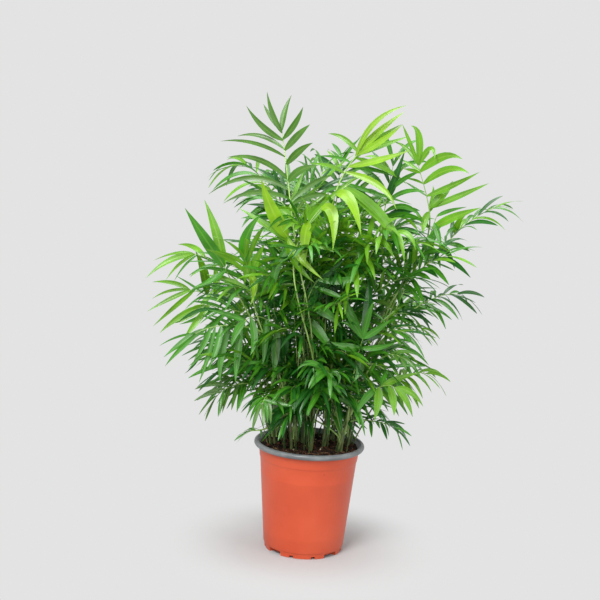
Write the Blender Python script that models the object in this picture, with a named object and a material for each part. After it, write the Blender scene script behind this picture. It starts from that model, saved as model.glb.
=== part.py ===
"""A parlour palm in its nursery pot.

The pot is a turned plastic shell with a rolled rim, filled with soil. A clump of short canes
stands in the soil, and each cane carries a few pinnate fronds: a thin leaf stalk that runs on
as the rib of the blade, with pairs of narrow leaflets along it.

Metres, +Z up. The origin is the centre of the pot's flat underside, and -Y is the front.
"""

import random
from math import cos, pi, radians, sin

import bmesh
import bpy
from mathutils import Vector
from mathutils.bvhtree import BVHTree

MM = 0.001
UP = Vector((0.0, 0.0, 1.0))

# Gap between two pieces that rest on each other
CLEARANCE = 0.3 * MM

# Pot: radii and heights of the turned shell
POT_SEGMENTS = 48
FOOT_RADIUS = 49.6 * MM
FOOT_HEIGHT = 7.0 * MM
WALL_FOOT_RADIUS = 51.2 * MM
WALL_TOP_RADIUS = 62.6 * MM
SHOULDER_HEIGHT = 118.0 * MM
SHOULDER_STEP = 0.7 * MM
LIP_RADIUS = 65.8 * MM
LIP_THICKNESS = 0.8 * MM
LIP_HEIGHT = 132.0 * MM
INNER_FLOOR_RADIUS = 48.7 * MM
INNER_TOP_RADIUS = 60.2 * MM
FLOOR_THICKNESS = 4.0 * MM

# Four raised arches between the feet, and two small drain notches in each foot
ARCH_COUNT = 4
ARCH_ANGLE = radians(23.0)
ARCH_DEPTH = 7.0 * MM
ARCH_RISE = 5.5 * MM
CUTTER_REACH = 8.0 * MM
NOTCH_OFFSET = radians(16.0)
NOTCH_WIDTH = 5.0 * MM
NOTCH_RISE = 3.5 * MM

# Rolled rim that rests on the lip
RIM_RADIUS = 70.0 * MM
RIM_WIDTH = 6.3 * MM
RIM_HEIGHT = 6.7 * MM
RIM_SIDES = 6

# Soil fills the pot to a little below the top of the rim, and falls off towards the wall
SOIL_LEVEL = 134.5 * MM
SOIL_SHOULDER = 54.0 * MM
SOIL_EDGE = 130.7 * MM

# Cane: eight-sided, standing on the soil
CANE_SIDES = 8
CANE_RINGS = 4
CANE_TAPER = 0.78

# Frond: a three-sided stalk and rib that bears the leaflets
STALK_BASE_RADIUS = 1.4 * MM
NECK_RADIUS = 1.1 * MM
RIB_TIP_RADIUS = 0.75 * MM
STALK_RINGS = 5
LEAFLET_SEAT = 3.2 * MM

# Stalks leave a cane one below the other, from just under its top
ATTACH_TOP = 4.0 * MM
ATTACH_STEP = 13.0 * MM
ATTACH_LEAST = 0.15

# Leaflet: lance-shaped, broadest at a third of its length, with a keel under it
LEAFLET_SHOULDER = 0.32
LEAFLET_WAIST = 0.70
WAIST_WIDTH = 0.70
KEEL_DEPTH_SHARE = 1.0 / 80.0
KEEL_DEPTH_LEAST = 0.75 * MM
BASE_ANGLE = radians(70.0)
TIP_ANGLE = radians(20.0)
LEAFLET_RISE = radians(18.0)

# Clear space kept round a rib and round a leaflet
RIB_MARGIN = 0.22 * MM
LEAF_MARGIN = 0.4 * MM
ROOT_SHARE = 0.08

# Canes: position on the soil, height, lean of the top in x and y, radius at the foot, in mm
CANES = (
    (-44, -8, 60, -14, -4, 1.9),
    (-31, 17, 112, -16, 10, 2.1),
    (-22, -27, 80, -12, -10, 1.9),
    (-9, 5, 124, -4, 4, 2.2),
    (2, -32, 92, 2, -12, 2.0),
    (-9, 40, 104, -4, 14, 2.1),
    (18, -9, 132, 8, -4, 2.3),
    (30, 22, 110, 16, 8, 2.2),
    (40, -24, 66, 12, -8, 1.9),
    (49, 4, 78, 16, 2, 2.0),
)

# The picture that the fronds show in is 600 by 600, with its middle here. It is seen from EYE, in
# mm, with the line of sight turned, dipped and rolled in degrees. EYE_REACH is how far from the
# eye a thing shows at its own size
PICTURE_MIDDLE = 300
EYE = (0.0, -1454.0, 538.0)
EYE_TURN = -0.9
EYE_DIP = 8.59
EYE_ROLL = 3.5
EYE_REACH = 1180.0

# Fronds that show: name, cane, neck and tip of the blade, roll of the blade in degrees,
# arch, pairs of leaflets, longest leaflet, width over length, droop, spread, tone. A neck or tip
# is where it shows in the picture, across and down, and how far back it lies, in mm
SHOWN_FRONDS = (
    ("top_left", 3, (289, 190, 12), (281, 126, 45), -6, 0.15, 5, 58, 0.23,
     0.12, 0.72, "middle"),
    ("top_left_back", 1, (283, 213, 50), (240, 164, 100), -5, 0.35, 8, 72, 0.11,
     0.60, 1.00, "middle"),
    ("top_middle", 3, (312, 225, 30), (324, 168, 70), 8, 0.25, 8, 70, 0.11,
     0.40, 1.00, "middle"),
    ("top_bright", 6, (340, 182, 0), (390, 122, 14), 38, 0.15, 8, 60, 0.13,
     0.20, 0.58, "young"),
    ("top_right", 7, (430, 226, 12), (418, 164, -2), 40, 0.10, 6, 60, 0.17,
     0.45, 1.10, "bright"),
    ("right_broad", 7, (424, 252, -8), (438, 214, -20), 25, 0.20, 4, 68, 0.16,
     0.20, 0.95, "middle"),
    ("upper_right", 7, (384, 240, 15), (396, 165, 35), 10, 0.20, 7, 62, 0.14,
     0.40, 1.00, "middle"),
    ("right_hanging", 6, (366, 262, -36), (396, 232, -75), 15, 0.45, 6, 70, 0.14,
     0.70, 1.00, "middle"),
    ("right_arch", 7, (424, 262, 10), (492, 208, 5), 20, 0.25, 9, 56, 0.13,
     0.50, 0.95, "middle"),
    ("right_mid", 9, (400, 290, -15), (446, 256, -40), 45, 0.25, 7, 60, 0.14,
     0.35, 1.00, "middle"),
    ("right_inner", 7, (384, 330, -5), (424, 250, -25), 40, 0.20, 8, 58, 0.13,
     0.40, 0.95, "middle"),
    ("right_dark", 9, (396, 318, 25), (456, 294, 45), 30, 0.30, 8, 48, 0.14,
     0.60, 1.00, "dark"),
    ("right_light", 9, (392, 332, 10), (425, 328, 25), 45, 0.30, 5, 44, 0.14,
     0.45, 1.00, "bright"),
    ("right_small", 8, (372, 362, -45), (398, 356, -75), 30, 0.40, 5, 34, 0.17,
     0.30, 1.00, "old"),
    ("right_low", 9, (392, 384, 5), (426, 374, 5), 38, 0.40, 5, 46, 0.13,
     0.60, 0.90, "bright"),
    ("right_front", 8, (362, 398, -45), (396, 388, -85), 25, 0.45, 6, 60, 0.17,
     0.75, 1.00, "bright"),
    ("right_lowest", 8, (366, 420, -15), (396, 430, -35), 10, 0.35, 6, 34, 0.16,
     0.40, 1.00, "dark"),
    ("left_broad", 2, (240, 298, -44), (214, 250, -62), -75, 0.10, 3, 82, 0.16,
     0.05, 0.60, "middle"),
    ("left_upper", 1, (230, 274, 10), (190, 254, 0), -25, 0.30, 6, 68, 0.13,
     0.55, 0.95, "bright"),
    ("left_mid", 1, (224, 303, 20), (183, 291, 30), -35, 0.30, 6, 62, 0.12,
     0.35, 0.90, "bright"),
    ("left_lower", 0, (240, 320, -20), (196, 306, -45), -35, 0.35, 7, 64, 0.14,
     0.40, 0.90, "bright"),
    ("left_fan", 0, (258, 334, -40), (190, 334, -70), -30, 0.40, 8, 50, 0.15,
     0.75, 0.90, "middle"),
    ("left_hang", 2, (270, 330, -50), (240, 322, -90), -15, 0.50, 6, 56, 0.15,
     0.70, 0.90, "middle"),
    ("left_bottom", 0, (256, 384, -20), (222, 396, -35), -25, 0.40, 6, 44, 0.15,
     0.50, 0.95, "old"),
    ("left_low_front", 2, (272, 395, -46), (262, 404, -80), 0, 0.50, 5, 40, 0.17,
     0.90, 0.95, "old"),
    ("left_seedling", 0, (260, 430, -24), (247, 433, -30), 0, 0.40, 3, 24, 0.16,
     0.30, 1.00, "middle"),
    ("front_bright", 4, (298, 242, -62), (352, 182, -56), 20, 0.20, 6, 64, 0.17,
     0.55, 0.95, "young"),
    ("centre_left", 2, (268, 300, -50), (252, 258, -75), 20, 0.20, 5, 66, 0.15,
     0.30, 0.90, "bright"),
    ("young_left", 4, (298, 264, -56), (287, 236, -60), -80, 0.10, 3, 78, 0.17,
     0.05, 0.62, "young"),
    ("centre_right", 6, (352, 298, -35), (385, 235, -60), 30, 0.25, 6, 72, 0.14,
     0.55, 1.00, "bright"),
    ("centre_dark", 4, (308, 328, -50), (322, 280, -70), 10, 0.30, 6, 72, 0.17,
     0.40, 1.00, "dark"),
    ("centre_fan", 8, (354, 372, -50), (363, 338, -70), 10, 0.20, 5, 54, 0.17,
     0.30, 1.10, "dark"),
    ("centre_low", 4, (330, 398, -40), (328, 374, -85), 0, 0.50, 6, 50, 0.16,
     0.60, 1.10, "middle"),
)

# Crown that the other fronds fill: half width at a height, in mm
CROWN = ((160, 85), (220, 140), (300, 178), (400, 196), (480, 168), (540, 118), (590, 60))

# Other fronds, set out by rule: name, how many, first and last direction in degrees with 0 at
# +X and 90 at the back, lowest and highest tip in mm, share of the crown's half width, tone
FILLS = (
    ("back_low", 3, 14, 166, 200, 270, 0.76, "dark"),
    ("back_middle", 6, 22, 160, 310, 410, 0.78, "middle"),
    ("back_high", 3, 45, 130, 440, 530, 0.62, "middle"),
    ("front_low", 2, -130, -60, 190, 240, 0.55, "dark"),
)
FILL_SEED = 11
FILL_SWAY = 25

# Leaf and surface colours
TONES = {
    "young": (0.33, 0.56, 0.06),
    "bright": (0.14, 0.38, 0.04),
    "middle": (0.07, 0.24, 0.03),
    "dark": (0.03, 0.13, 0.02),
    "old": (0.10, 0.22, 0.05),
}
CANE_COLOUR = (0.16, 0.26, 0.06)
POT_COLOUR = (0.60, 0.10, 0.04)
RIM_COLOUR = (0.16, 0.17, 0.18)
SOIL_COLOUR = (0.025, 0.016, 0.012)


def plain_material(name, colour, roughness):
    """A Principled material of one colour."""
    material = bpy.data.materials.new(name)
    material.use_nodes = True
    shader = material.node_tree.nodes["Principled BSDF"]
    shader.inputs["Base Color"].default_value = (*colour, 1.0)
    shader.inputs["Roughness"].default_value = roughness
    shader.inputs["Metallic"].default_value = 0.0
    return material


def add_object(name, bm, material):
    """Turn a bmesh into a named object."""
    mesh = bpy.data.meshes.new(name)
    bm.to_mesh(mesh)
    bm.free()
    mesh.materials.append(material)
    piece = bpy.data.objects.new(name, mesh)
    bpy.context.scene.collection.objects.link(piece)
    return piece


# Pot, rim and soil

def inner_radius(height):
    """Radius of the pot's inner wall at a height."""
    share = (height - FLOOR_THICKNESS) / (LIP_HEIGHT - FLOOR_THICKNESS)
    return INNER_FLOOR_RADIUS + share * (INNER_TOP_RADIUS - INNER_FLOOR_RADIUS)


def wall_radius(height):
    """Radius of the pot's outer wall at a height."""
    share = (height - FOOT_HEIGHT) / (LIP_HEIGHT - FOOT_HEIGHT)
    return WALL_FOOT_RADIUS + share * (WALL_TOP_RADIUS - WALL_FOOT_RADIUS)


def spin_profile(points, steps):
    """A solid turned about the Z axis from (radius, height) points."""
    bm = bmesh.new()
    verts = [bm.verts.new((radius, 0.0, height)) for radius, height in points]
    edges = [bm.edges.new(pair) for pair in zip(verts, verts[1:])]
    bmesh.ops.spin(bm, geom=verts + edges, axis=UP, cent=(0, 0, 0), steps=steps, angle=2 * pi,
                   use_merge=True)
    bmesh.ops.remove_doubles(bm, verts=bm.verts, dist=1e-6)
    bmesh.ops.recalc_face_normals(bm, faces=bm.faces)
    return bm


def wedge_cutter(name, direction, half_width, inner, outer, rise):
    """A cutter that opens the foot ring at one direction, from below the pot up to rise."""
    bm = bmesh.new()
    bmesh.ops.create_cube(bm, size=1.0)
    for vert in bm.verts:
        radius = outer if vert.co.x > 0 else inner
        side = half_width(radius) if vert.co.y > 0 else -half_width(radius)
        height = rise if vert.co.z > 0 else -2 * MM
        vert.co = Vector((radius, side, height))
    turn = direction - pi / 2
    for vert in bm.verts:
        x, y, z = vert.co
        vert.co = (x * cos(turn) - y * sin(turn), x * sin(turn) + y * cos(turn), z)
    cutter = add_object(name, bm, bpy.data.materials["pot_plastic"])
    cutter.hide_render = True
    cutter.display_type = "WIRE"
    return cutter


def make_pot():
    """The turned shell, with arches and drain notches cut in its foot."""
    shoulder = wall_radius(SHOULDER_HEIGHT)
    profile = (
        (0.0, 0.0),
        (FOOT_RADIUS, 0.0),
        (FOOT_RADIUS + 0.7 * MM, FOOT_HEIGHT - 0.6 * MM),
        (WALL_FOOT_RADIUS, FOOT_HEIGHT + 0.4 * MM),
        (shoulder, SHOULDER_HEIGHT),
        (shoulder + SHOULDER_STEP, SHOULDER_HEIGHT + 1.0 * MM),
        (WALL_TOP_RADIUS + SHOULDER_STEP, LIP_HEIGHT - 2 * LIP_THICKNESS),
        (LIP_RADIUS, LIP_HEIGHT - LIP_THICKNESS),
        (LIP_RADIUS, LIP_HEIGHT),
        (INNER_TOP_RADIUS, LIP_HEIGHT),
        (INNER_FLOOR_RADIUS, FLOOR_THICKNESS),
        (0.0, FLOOR_THICKNESS),
    )
    material = plain_material("pot_plastic", POT_COLOUR, 0.45)
    pot = add_object("pot", spin_profile(profile, POT_SEGMENTS), material)
    outer = FOOT_RADIUS + CUTTER_REACH
    inner = FOOT_RADIUS - ARCH_DEPTH
    cutters = []
    for arch in range(ARCH_COUNT):
        middle = -pi / 2 + (arch + 0.5) * 2 * pi / ARCH_COUNT
        cutters.append(wedge_cutter(
            f"arch_cutter_{arch}", middle + pi / 2,
            lambda radius: radius * sin(ARCH_ANGLE / 2), inner, outer, ARCH_RISE))
        foot = -pi / 2 + arch * 2 * pi / ARCH_COUNT
        for side in (-1, 1):
            cutters.append(wedge_cutter(
                f"notch_cutter_{arch}_{side}", foot + side * NOTCH_OFFSET + pi / 2,
                lambda radius: NOTCH_WIDTH / 2, inner, outer, NOTCH_RISE))
    for cutter in cutters:
        cut = pot.modifiers.new(cutter.name, "BOOLEAN")
        cut.operation = "DIFFERENCE"
        cut.solver = "EXACT"
        cut.object = cutter
    return pot


def make_rim():
    """The rolled rim, a turned bead that rests on the pot's lip."""
    middle_radius = RIM_RADIUS - RIM_WIDTH / 2
    middle_height = LIP_HEIGHT + CLEARANCE + RIM_HEIGHT / 2
    turns = [(side + 0.5) * 2 * pi / RIM_SIDES for side in range(RIM_SIDES + 1)]
    reach = 1.0 / cos(pi / RIM_SIDES)
    profile = [
        (middle_radius + RIM_WIDTH / 2 * cos(turn), middle_height + RIM_HEIGHT / 2 * reach * sin(turn))
        for turn in turns
    ]
    material = plain_material("rim_plastic", RIM_COLOUR, 0.5)
    return add_object("pot_rim", spin_profile(profile, POT_SEGMENTS), material)


def make_soil():
    """The plug of soil inside the pot, flat on top where the canes stand."""
    foot = FLOOR_THICKNESS + CLEARANCE
    profile = (
        (0.0, foot),
        (inner_radius(foot) - 2 * CLEARANCE, foot),
        (inner_radius(SOIL_EDGE) - 2 * CLEARANCE, SOIL_EDGE),
        (SOIL_SHOULDER, SOIL_LEVEL),
        (0.0, SOIL_LEVEL),
    )
    material = plain_material("soil", SOIL_COLOUR, 0.95)
    return add_object("soil", spin_profile(profile, POT_SEGMENTS), material)


# Tubes

def start_tube(bm, first, second):
    """A prism between two rings of points; returns its end ring and its end face."""
    sides = len(first)
    bmesh.ops.create_cone(bm, cap_ends=True, segments=sides, radius1=1, radius2=1, depth=2)
    cap = max(bm.faces, key=lambda face: face.calc_center_median().z)
    ring = list(cap.verts)
    lower = []
    for vert in ring:
        below = [edge.other_vert(vert) for edge in vert.link_edges]
        lower.append(next(other for other in below if other.co.z < 0))
    for vert, point in zip(ring, second):
        vert.co = point
    for vert, point in zip(lower, first):
        vert.co = point
    return ring, cap


def extrude_face(bm, face, ring):
    """Extrude one face; returns the new ring, in the old ring's order, and the new face."""
    face = bmesh.ops.extrude_discrete_faces(bm, faces=[face])["faces"][0]
    fresh = [min(face.verts, key=lambda vert: (vert.co - old.co).length) for old in ring]
    return fresh, face


def side_face(first, second, third, fourth):
    """The quad that holds these four corners."""
    corners = {first, second, third, fourth}
    return next(face for face in first.link_faces if set(face.verts) == corners)


def tube_polygons(rings):
    """Rings of points as the vertices and polygons of an open tube."""
    sides = len(rings[0])
    verts = [point for ring in rings for point in ring]
    polygons = []
    for row in range(len(rings) - 1):
        for side in range(sides):
            after = (side + 1) % sides
            low = row * sides
            polygons.append((low + side, low + after, low + sides + after, low + sides + side))
    return verts, polygons


# Clear space between the pieces

class Thicket:
    """What already stands in the crown, so that the next piece keeps clear of it."""

    def __init__(self):
        self.pieces = []

    def shape(self, rings):
        """Centre, reach and search tree of a tube through rings of points."""
        verts, polygons = tube_polygons(rings)
        centre = sum(verts, Vector()) / len(verts)
        radius = max((vert - centre).length for vert in verts)
        return centre, radius, BVHTree.FromPolygons(verts, polygons)

    def add(self, rings, owner=None):
        """Take up the space of a tube."""
        self.pieces.append((*self.shape(rings), owner))

    def is_clear(self, rings, owner=None):
        """True where a tube touches nothing but its owner's own pieces."""
        centre, radius, tree = self.shape(rings)
        for other_centre, other_radius, other_tree, other_owner in self.pieces:
            if owner is not None and owner == other_owner:
                continue
            if (centre - other_centre).length > radius + other_radius:
                continue
            if tree.overlap(other_tree):
                return False
        return True


# Canes

def cane_axis(cane, share):
    """Point on a cane's axis, share of the way up."""
    x, y, height, lean_x, lean_y, _ = cane
    bend = share ** 1.5
    foot = SOIL_LEVEL + CLEARANCE
    return Vector((
        (x + lean_x * bend) * MM,
        (y + lean_y * bend) * MM,
        foot + height * MM * share,
    ))


def cane_radius(cane, share):
    """Radius of a cane, share of the way up."""
    return cane[5] * MM * (1.0 + (CANE_TAPER - 1.0) * share)


def cane_rings(cane):
    """Rings of points up a cane."""
    rings = []
    for row in range(CANE_RINGS + 1):
        share = row / CANE_RINGS
        centre = cane_axis(cane, share)
        radius = cane_radius(cane, share)
        turns = [side * 2 * pi / CANE_SIDES for side in range(CANE_SIDES)]
        rings.append([centre + Vector((cos(turn), sin(turn), 0)) * radius for turn in turns])
    return rings


def make_cane(number, cane, thicket):
    """One cane, cut flat at the soil."""
    rings = cane_rings(cane)
    bm = bmesh.new()
    ring, face = start_tube(bm, rings[0], rings[1])
    for points in rings[2:]:
        ring, face = extrude_face(bm, face, ring)
        for vert, point in zip(ring, points):
            vert.co = point
    name = f"stem_{number + 1:02d}"
    thicket.add(rings, name)
    return add_object(name, bm, bpy.data.materials["cane"])


# Fronds

def hermite(start, start_pull, end, end_pull, share):
    """Point on a cubic between two points with a pull at each end."""
    square, cube = share ** 2, share ** 3
    return (start * (2 * cube - 3 * square + 1) + start_pull * (cube - 2 * square + share)
            + end * (3 * square - 2 * cube) + end_pull * (cube - square))


def flat_direction(vector):
    """The level part of a vector, as a unit vector."""
    level = Vector((vector.x, vector.y, 0.0))
    return level.normalized() if level.length > 1e-6 else Vector((1, 0, 0))


class Frond:
    """The course of one frond: its stalk from the cane to the neck, and its rib to the tip."""

    def __init__(self, row, cane, order, turn=0.0, shift=Vector()):
        (self.name, _, neck, tip, roll, self.arch, self.pairs, leaflet, self.slimness,
         self.droop, self.spread, self.tone) = row
        self.neck = Vector(neck) * MM + shift
        self.tip = Vector(tip) * MM + shift * 0.5
        self.roll = radians(roll)
        self.leaflet = leaflet * MM
        height = cane[2] * MM
        share = max(ATTACH_LEAST, 1.0 - (ATTACH_TOP + order * ATTACH_STEP) / height)
        axis = cane_axis(cane, share)
        out = flat_direction(self.neck - axis)
        self.out = Vector((out.x * cos(turn) - out.y * sin(turn),
                           out.x * sin(turn) + out.y * cos(turn), 0.0))
        offset = cane_radius(cane, share) + CLEARANCE + STALK_BASE_RADIUS / 2
        self.base = axis + self.out * offset
        self.rise = (cane_axis(cane, share + 0.01) - axis).normalized()
        first, second = self.neck - self.base, self.tip - self.neck
        self.stalk_length = first.length
        self.blade_length = second.length
        self.neck_way = (first.normalized() * 0.6 + second.normalized()).normalized()
        self.tip_way = (second.normalized() - UP * self.arch * 1.6).normalized()
        self.side = UP.cross(flat_direction(self.tip - self.neck))

    def point(self, way):
        """Point on the course: way runs from 0 to 1 along the stalk and on to 2 along the rib."""
        if way <= 1.0:
            reach = self.stalk_length
            return hermite(self.base, self.rise * reach * 0.9, self.neck,
                           self.neck_way * reach * 0.9, way)
        reach = self.blade_length
        return hermite(self.neck, self.neck_way * reach, self.tip, self.tip_way * reach, way - 1.0)

    def frame(self, way):
        """Along, side and upper direction at a place on the course."""
        step = 0.004
        along = (self.point(min(way + step, 2.0)) - self.point(max(way - step, 0.0))).normalized()
        side = (self.side - along * self.side.dot(along)).normalized()
        upper = along.cross(side)
        roll = self.roll * min(1.0, way)
        turned = side * cos(roll) + upper * sin(roll)
        return along, turned, along.cross(turned)

    def radius(self, way):
        """Radius of the stalk or rib."""
        if way <= 1.0:
            return STALK_BASE_RADIUS + (NECK_RADIUS - STALK_BASE_RADIUS) * way
        return NECK_RADIUS + (RIB_TIP_RADIUS - NECK_RADIUS) * (way - 1.0)

    def ring(self, way, swell=0.0):
        """Three points round the course: the keel, then the upper left and upper right edge."""
        centre = self.point(way)
        _, side, upper = self.frame(way)
        radius = self.radius(way) + swell
        return [centre + (side * cos(turn) + upper * sin(turn)) * radius
                for turn in (radians(-90), radians(30), radians(150))]

    def seats(self):
        """Where each pair of leaflets starts on the rib, and how far it is along the blade."""
        seat = LEAFLET_SEAT / self.blade_length
        places = []
        for pair in range(self.pairs):
            share = pair / (self.pairs - 1)
            places.append((1.0 + share * (1.0 - seat), share))
        return places, seat

    def ways(self):
        """All rings: those of the stalk, then two for each pair of leaflets."""
        places, seat = self.seats()
        stalk = [row / STALK_RINGS for row in range(STALK_RINGS)]
        rib = []
        for place, _ in places:
            rib += [place, place + seat]
        return stalk + rib


def leaflet_rings(frond, way, share, hand, scale=1.0, lift=0.0, swell=0.0):
    """Shoulder ring, waist ring and tip of one leaflet; hand is 1 on the left and -1 on the right."""
    along, side, upper = frond.frame(way)
    root = frond.point(way)
    angle = (BASE_ANGLE + (TIP_ANGLE - BASE_ANGLE) * share ** 1.2) * frond.spread
    heading = along * cos(angle) + side * hand * sin(angle)
    rise = LEAFLET_RISE * (1.0 - 0.6 * share) + lift
    heading = (heading * cos(rise) + upper * sin(rise)).normalized()
    profile = 0.84 + 0.16 * sin(pi * min(1.0, 0.15 + share * 0.95))
    length = frond.leaflet * profile * scale
    width_way = (along - heading * along.dot(heading)).normalized()
    upper_way = width_way.cross(heading) * hand
    if upper_way.dot(upper) < 0:
        upper_way = -upper_way
    half = length * frond.slimness / 2 + swell
    keel = max(KEEL_DEPTH_LEAST, length * KEEL_DEPTH_SHARE)

    def spot(far):
        return root + heading * length * far - UP * frond.droop * length * far ** 2

    rings = []
    for far, breadth in ((LEAFLET_SHOULDER, 1.0), (LEAFLET_WAIST, WAIST_WIDTH)):
        middle = spot(far)
        rings.append([
            middle - width_way * half * breadth + upper_way * swell,
            middle + width_way * half * breadth + upper_way * swell,
            middle - upper_way * (keel + swell),
        ])
    return rings, spot(1.0)


def leaflet_tube(seat_ring, rings, tip):
    """The leaflet as rings of points for the test of clear space."""
    return [seat_ring, *rings, [tip.lerp(point, 0.05) for point in rings[1]]]


def off_the_rib(tube):
    """The leaflet's tube without its root, so that it doesn't meet its own rib."""
    root = [near.lerp(far, ROOT_SHARE) for near, far in zip(tube[0], tube[1])]
    return [root, *tube[1:]]


# Lengths and lifts in degrees that a leaflet may take to find clear space
TRIES = ((1.0, 0), (1.0, 9), (1.0, -9), (0.88, 0), (0.88, 15), (0.88, -15), (0.72, 6),
         (0.72, -12), (0.58, 0), (0.58, 18), (0.58, -20))


def choose_leaflets(frond, thicket):
    """Leaflets of a frond that find clear space: their seat, hand, rings and tip."""
    chosen = []
    places, seat = frond.seats()
    own = Thicket()
    ways = frond.ways()
    for low, high in zip(ways, ways[1:]):
        own.add([frond.ring(low), frond.ring(high)])
    for place, share in places:
        way = place + seat / 2
        near, far = frond.ring(place, LEAF_MARGIN), frond.ring(place + seat, LEAF_MARGIN)
        for hand in (1, -1):
            edge = 1 if hand > 0 else 2
            seat_ring = [near[edge], far[edge], near[0].lerp(far[0], 0.5)]
            for scale, lift in TRIES:
                test = leaflet_rings(frond, way, share, hand, scale, radians(lift), LEAF_MARGIN)
                tube = leaflet_tube(seat_ring, *test)
                if not (thicket.is_clear(tube, frond.name) and own.is_clear(off_the_rib(tube))):
                    continue
                rings, tip = leaflet_rings(frond, way, share, hand, scale, radians(lift))
                tube = leaflet_tube(seat_ring, rings, tip)
                thicket.add(tube, frond.name)
                own.add(off_the_rib(tube))
                chosen.append((place, hand, rings, tip))
                break
    return chosen


def grow_leaflet(bm, corners, rings, tip):
    """Extrude one side of the rib into a leaflet."""
    keel_near, keel_far, edge_near, edge_far = corners
    face = side_face(*corners)
    ring, face = extrude_face(bm, face, list(corners))
    keel_near, keel_far, edge_near, edge_far = ring
    near, far, keel = rings[0]
    edge_near.co, edge_far.co = near, far
    bmesh.ops.pointmerge(bm, verts=[keel_near, keel_far], merge_co=keel)
    ring = [edge_near, edge_far, keel_near if keel_near.is_valid else keel_far]
    face = next(face for face in ring[0].link_faces if set(face.verts) == set(ring))
    ring, face = extrude_face(bm, face, ring)
    for vert, point in zip(ring, rings[1]):
        vert.co = point
    end = bmesh.ops.poke(bm, faces=[face])["verts"][0]
    end.co = tip


def make_frond(frond, leaflets):
    """Stalk, rib and leaflets as one solid."""
    bm = bmesh.new()
    ways = frond.ways()
    rings = [frond.ring(way) for way in ways]
    ring, face = start_tube(bm, rings[0], rings[1])
    grown = [ring]
    for points in rings[2:]:
        ring, face = extrude_face(bm, face, ring)
        for vert, point in zip(ring, points):
            vert.co = point
        grown.append(ring)
    for place, hand, leaf_rings, tip in leaflets:
        row = ways.index(place)
        near, far = grown[row - 1], grown[row]
        edge = 1 if hand > 0 else 2
        grow_leaflet(bm, (near[0], far[0], near[edge], far[edge]), leaf_rings, tip)
    bmesh.ops.recalc_face_normals(bm, faces=bm.faces)
    return add_object(frond.name, bm, bpy.data.materials["leaf_" + frond.tone])


def crown_half_width(height):
    """Half width of the crown at a height, both in mm."""
    for (low, narrow), (high, wide) in zip(CROWN, CROWN[1:]):
        if height <= high:
            return narrow + (wide - narrow) * (max(height, low) - low) / (high - low)
    return CROWN[-1][1]


def seen_at(across, down, back):
    """Place in mm of what shows at this spot of the picture and lies this far back."""
    turn, dip, roll = radians(EYE_TURN), radians(EYE_DIP), radians(EYE_ROLL)
    ahead = Vector((sin(turn) * cos(dip), cos(turn) * cos(dip), -sin(dip)))
    level = Vector((cos(turn), -sin(turn), 0))
    upright = level.cross(ahead)
    right = level * cos(roll) + upright * sin(roll)
    up = upright * cos(roll) - level * sin(roll)
    sight = (ahead + right * (across - PICTURE_MIDDLE) / EYE_REACH
             + up * (PICTURE_MIDDLE - down) / EYE_REACH)
    place = Vector(EYE) + sight * (back - EYE[1]) / sight.y
    return tuple(round(value) for value in place)


def shown_rows():
    """Rows of the fronds that show, with their necks and tips in mm."""
    return [(name, cane, seen_at(*neck), seen_at(*tip), *rest)
            for name, cane, neck, tip, *rest in SHOWN_FRONDS]


def filling_rows(groups, seed, sway):
    """Rows like those of the shown fronds for the rest of the crown."""
    rng = random.Random(seed)
    rows = []
    for group, count, first, last, low, high, reach, tone in groups:
        for number in range(count):
            share = (number + 0.5) / count
            direction = radians(first + (last - first) * share + rng.uniform(-7, 7))
            tip_height = low + (high - low) * ((number * 0.618) % 1.0)
            tip_radius = crown_half_width(tip_height) * reach * rng.uniform(0.92, 1.08)
            climb = (tip_height - 190) / 350
            blade = rng.uniform(72, 96)
            neck_radius = max(18.0, tip_radius - blade * (0.95 - 0.5 * climb))
            neck_height = tip_height - blade * (0.1 + 0.75 * climb)
            neck = (neck_radius * cos(direction), neck_radius * sin(direction), neck_height)
            aim = direction + rng.uniform(-0.12, 0.12)
            tip = (tip_radius * cos(aim), tip_radius * sin(aim), tip_height)
            middle = Vector(neck) * 0.45
            cane = min(range(len(CANES)), key=lambda index: (
                (Vector(CANES[index][:2]) - middle.to_2d()).length
                + 16 * sum(1 for row in rows if row[1] == index)
                + max(0.0, CANES[index][2] - neck_height + 190) * 0.3))
            rows.append((
                f"{group}_{number + 1}", cane, neck, tip, rng.uniform(-sway, sway),
                rng.uniform(0.25, 0.45), 7 if tip_height > 300 else 6, rng.uniform(50, 64),
                rng.uniform(0.14, 0.18), rng.uniform(0.2, 0.5), 0.95, tone))
    return rows


def place_frond(row, order, thicket):
    """Find a course for a frond that keeps clear of the canes and of the other courses."""
    cane = CANES[row[1]]
    shifts = [Vector()]
    for reach in (6, 12, 18):
        shifts += [Vector((cos(turn * pi / 3), sin(turn * pi / 3), 0)) * reach * MM for turn in range(6)]
    for shift in shifts:
        for turn in (0, 18, -18, 36, -36, 54, -54):
            frond = Frond(row, cane, order, radians(turn), shift)
            ways = frond.ways()
            spans = list(zip(ways, ways[1:]))
            if all(thicket.is_clear([frond.ring(low, RIB_MARGIN), frond.ring(high, RIB_MARGIN)])
                   for low, high in spans):
                for low, high in spans:
                    thicket.add([frond.ring(low), frond.ring(high)], row[0])
                return frond
    print("no clear course for", row[0])
    return None


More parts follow.
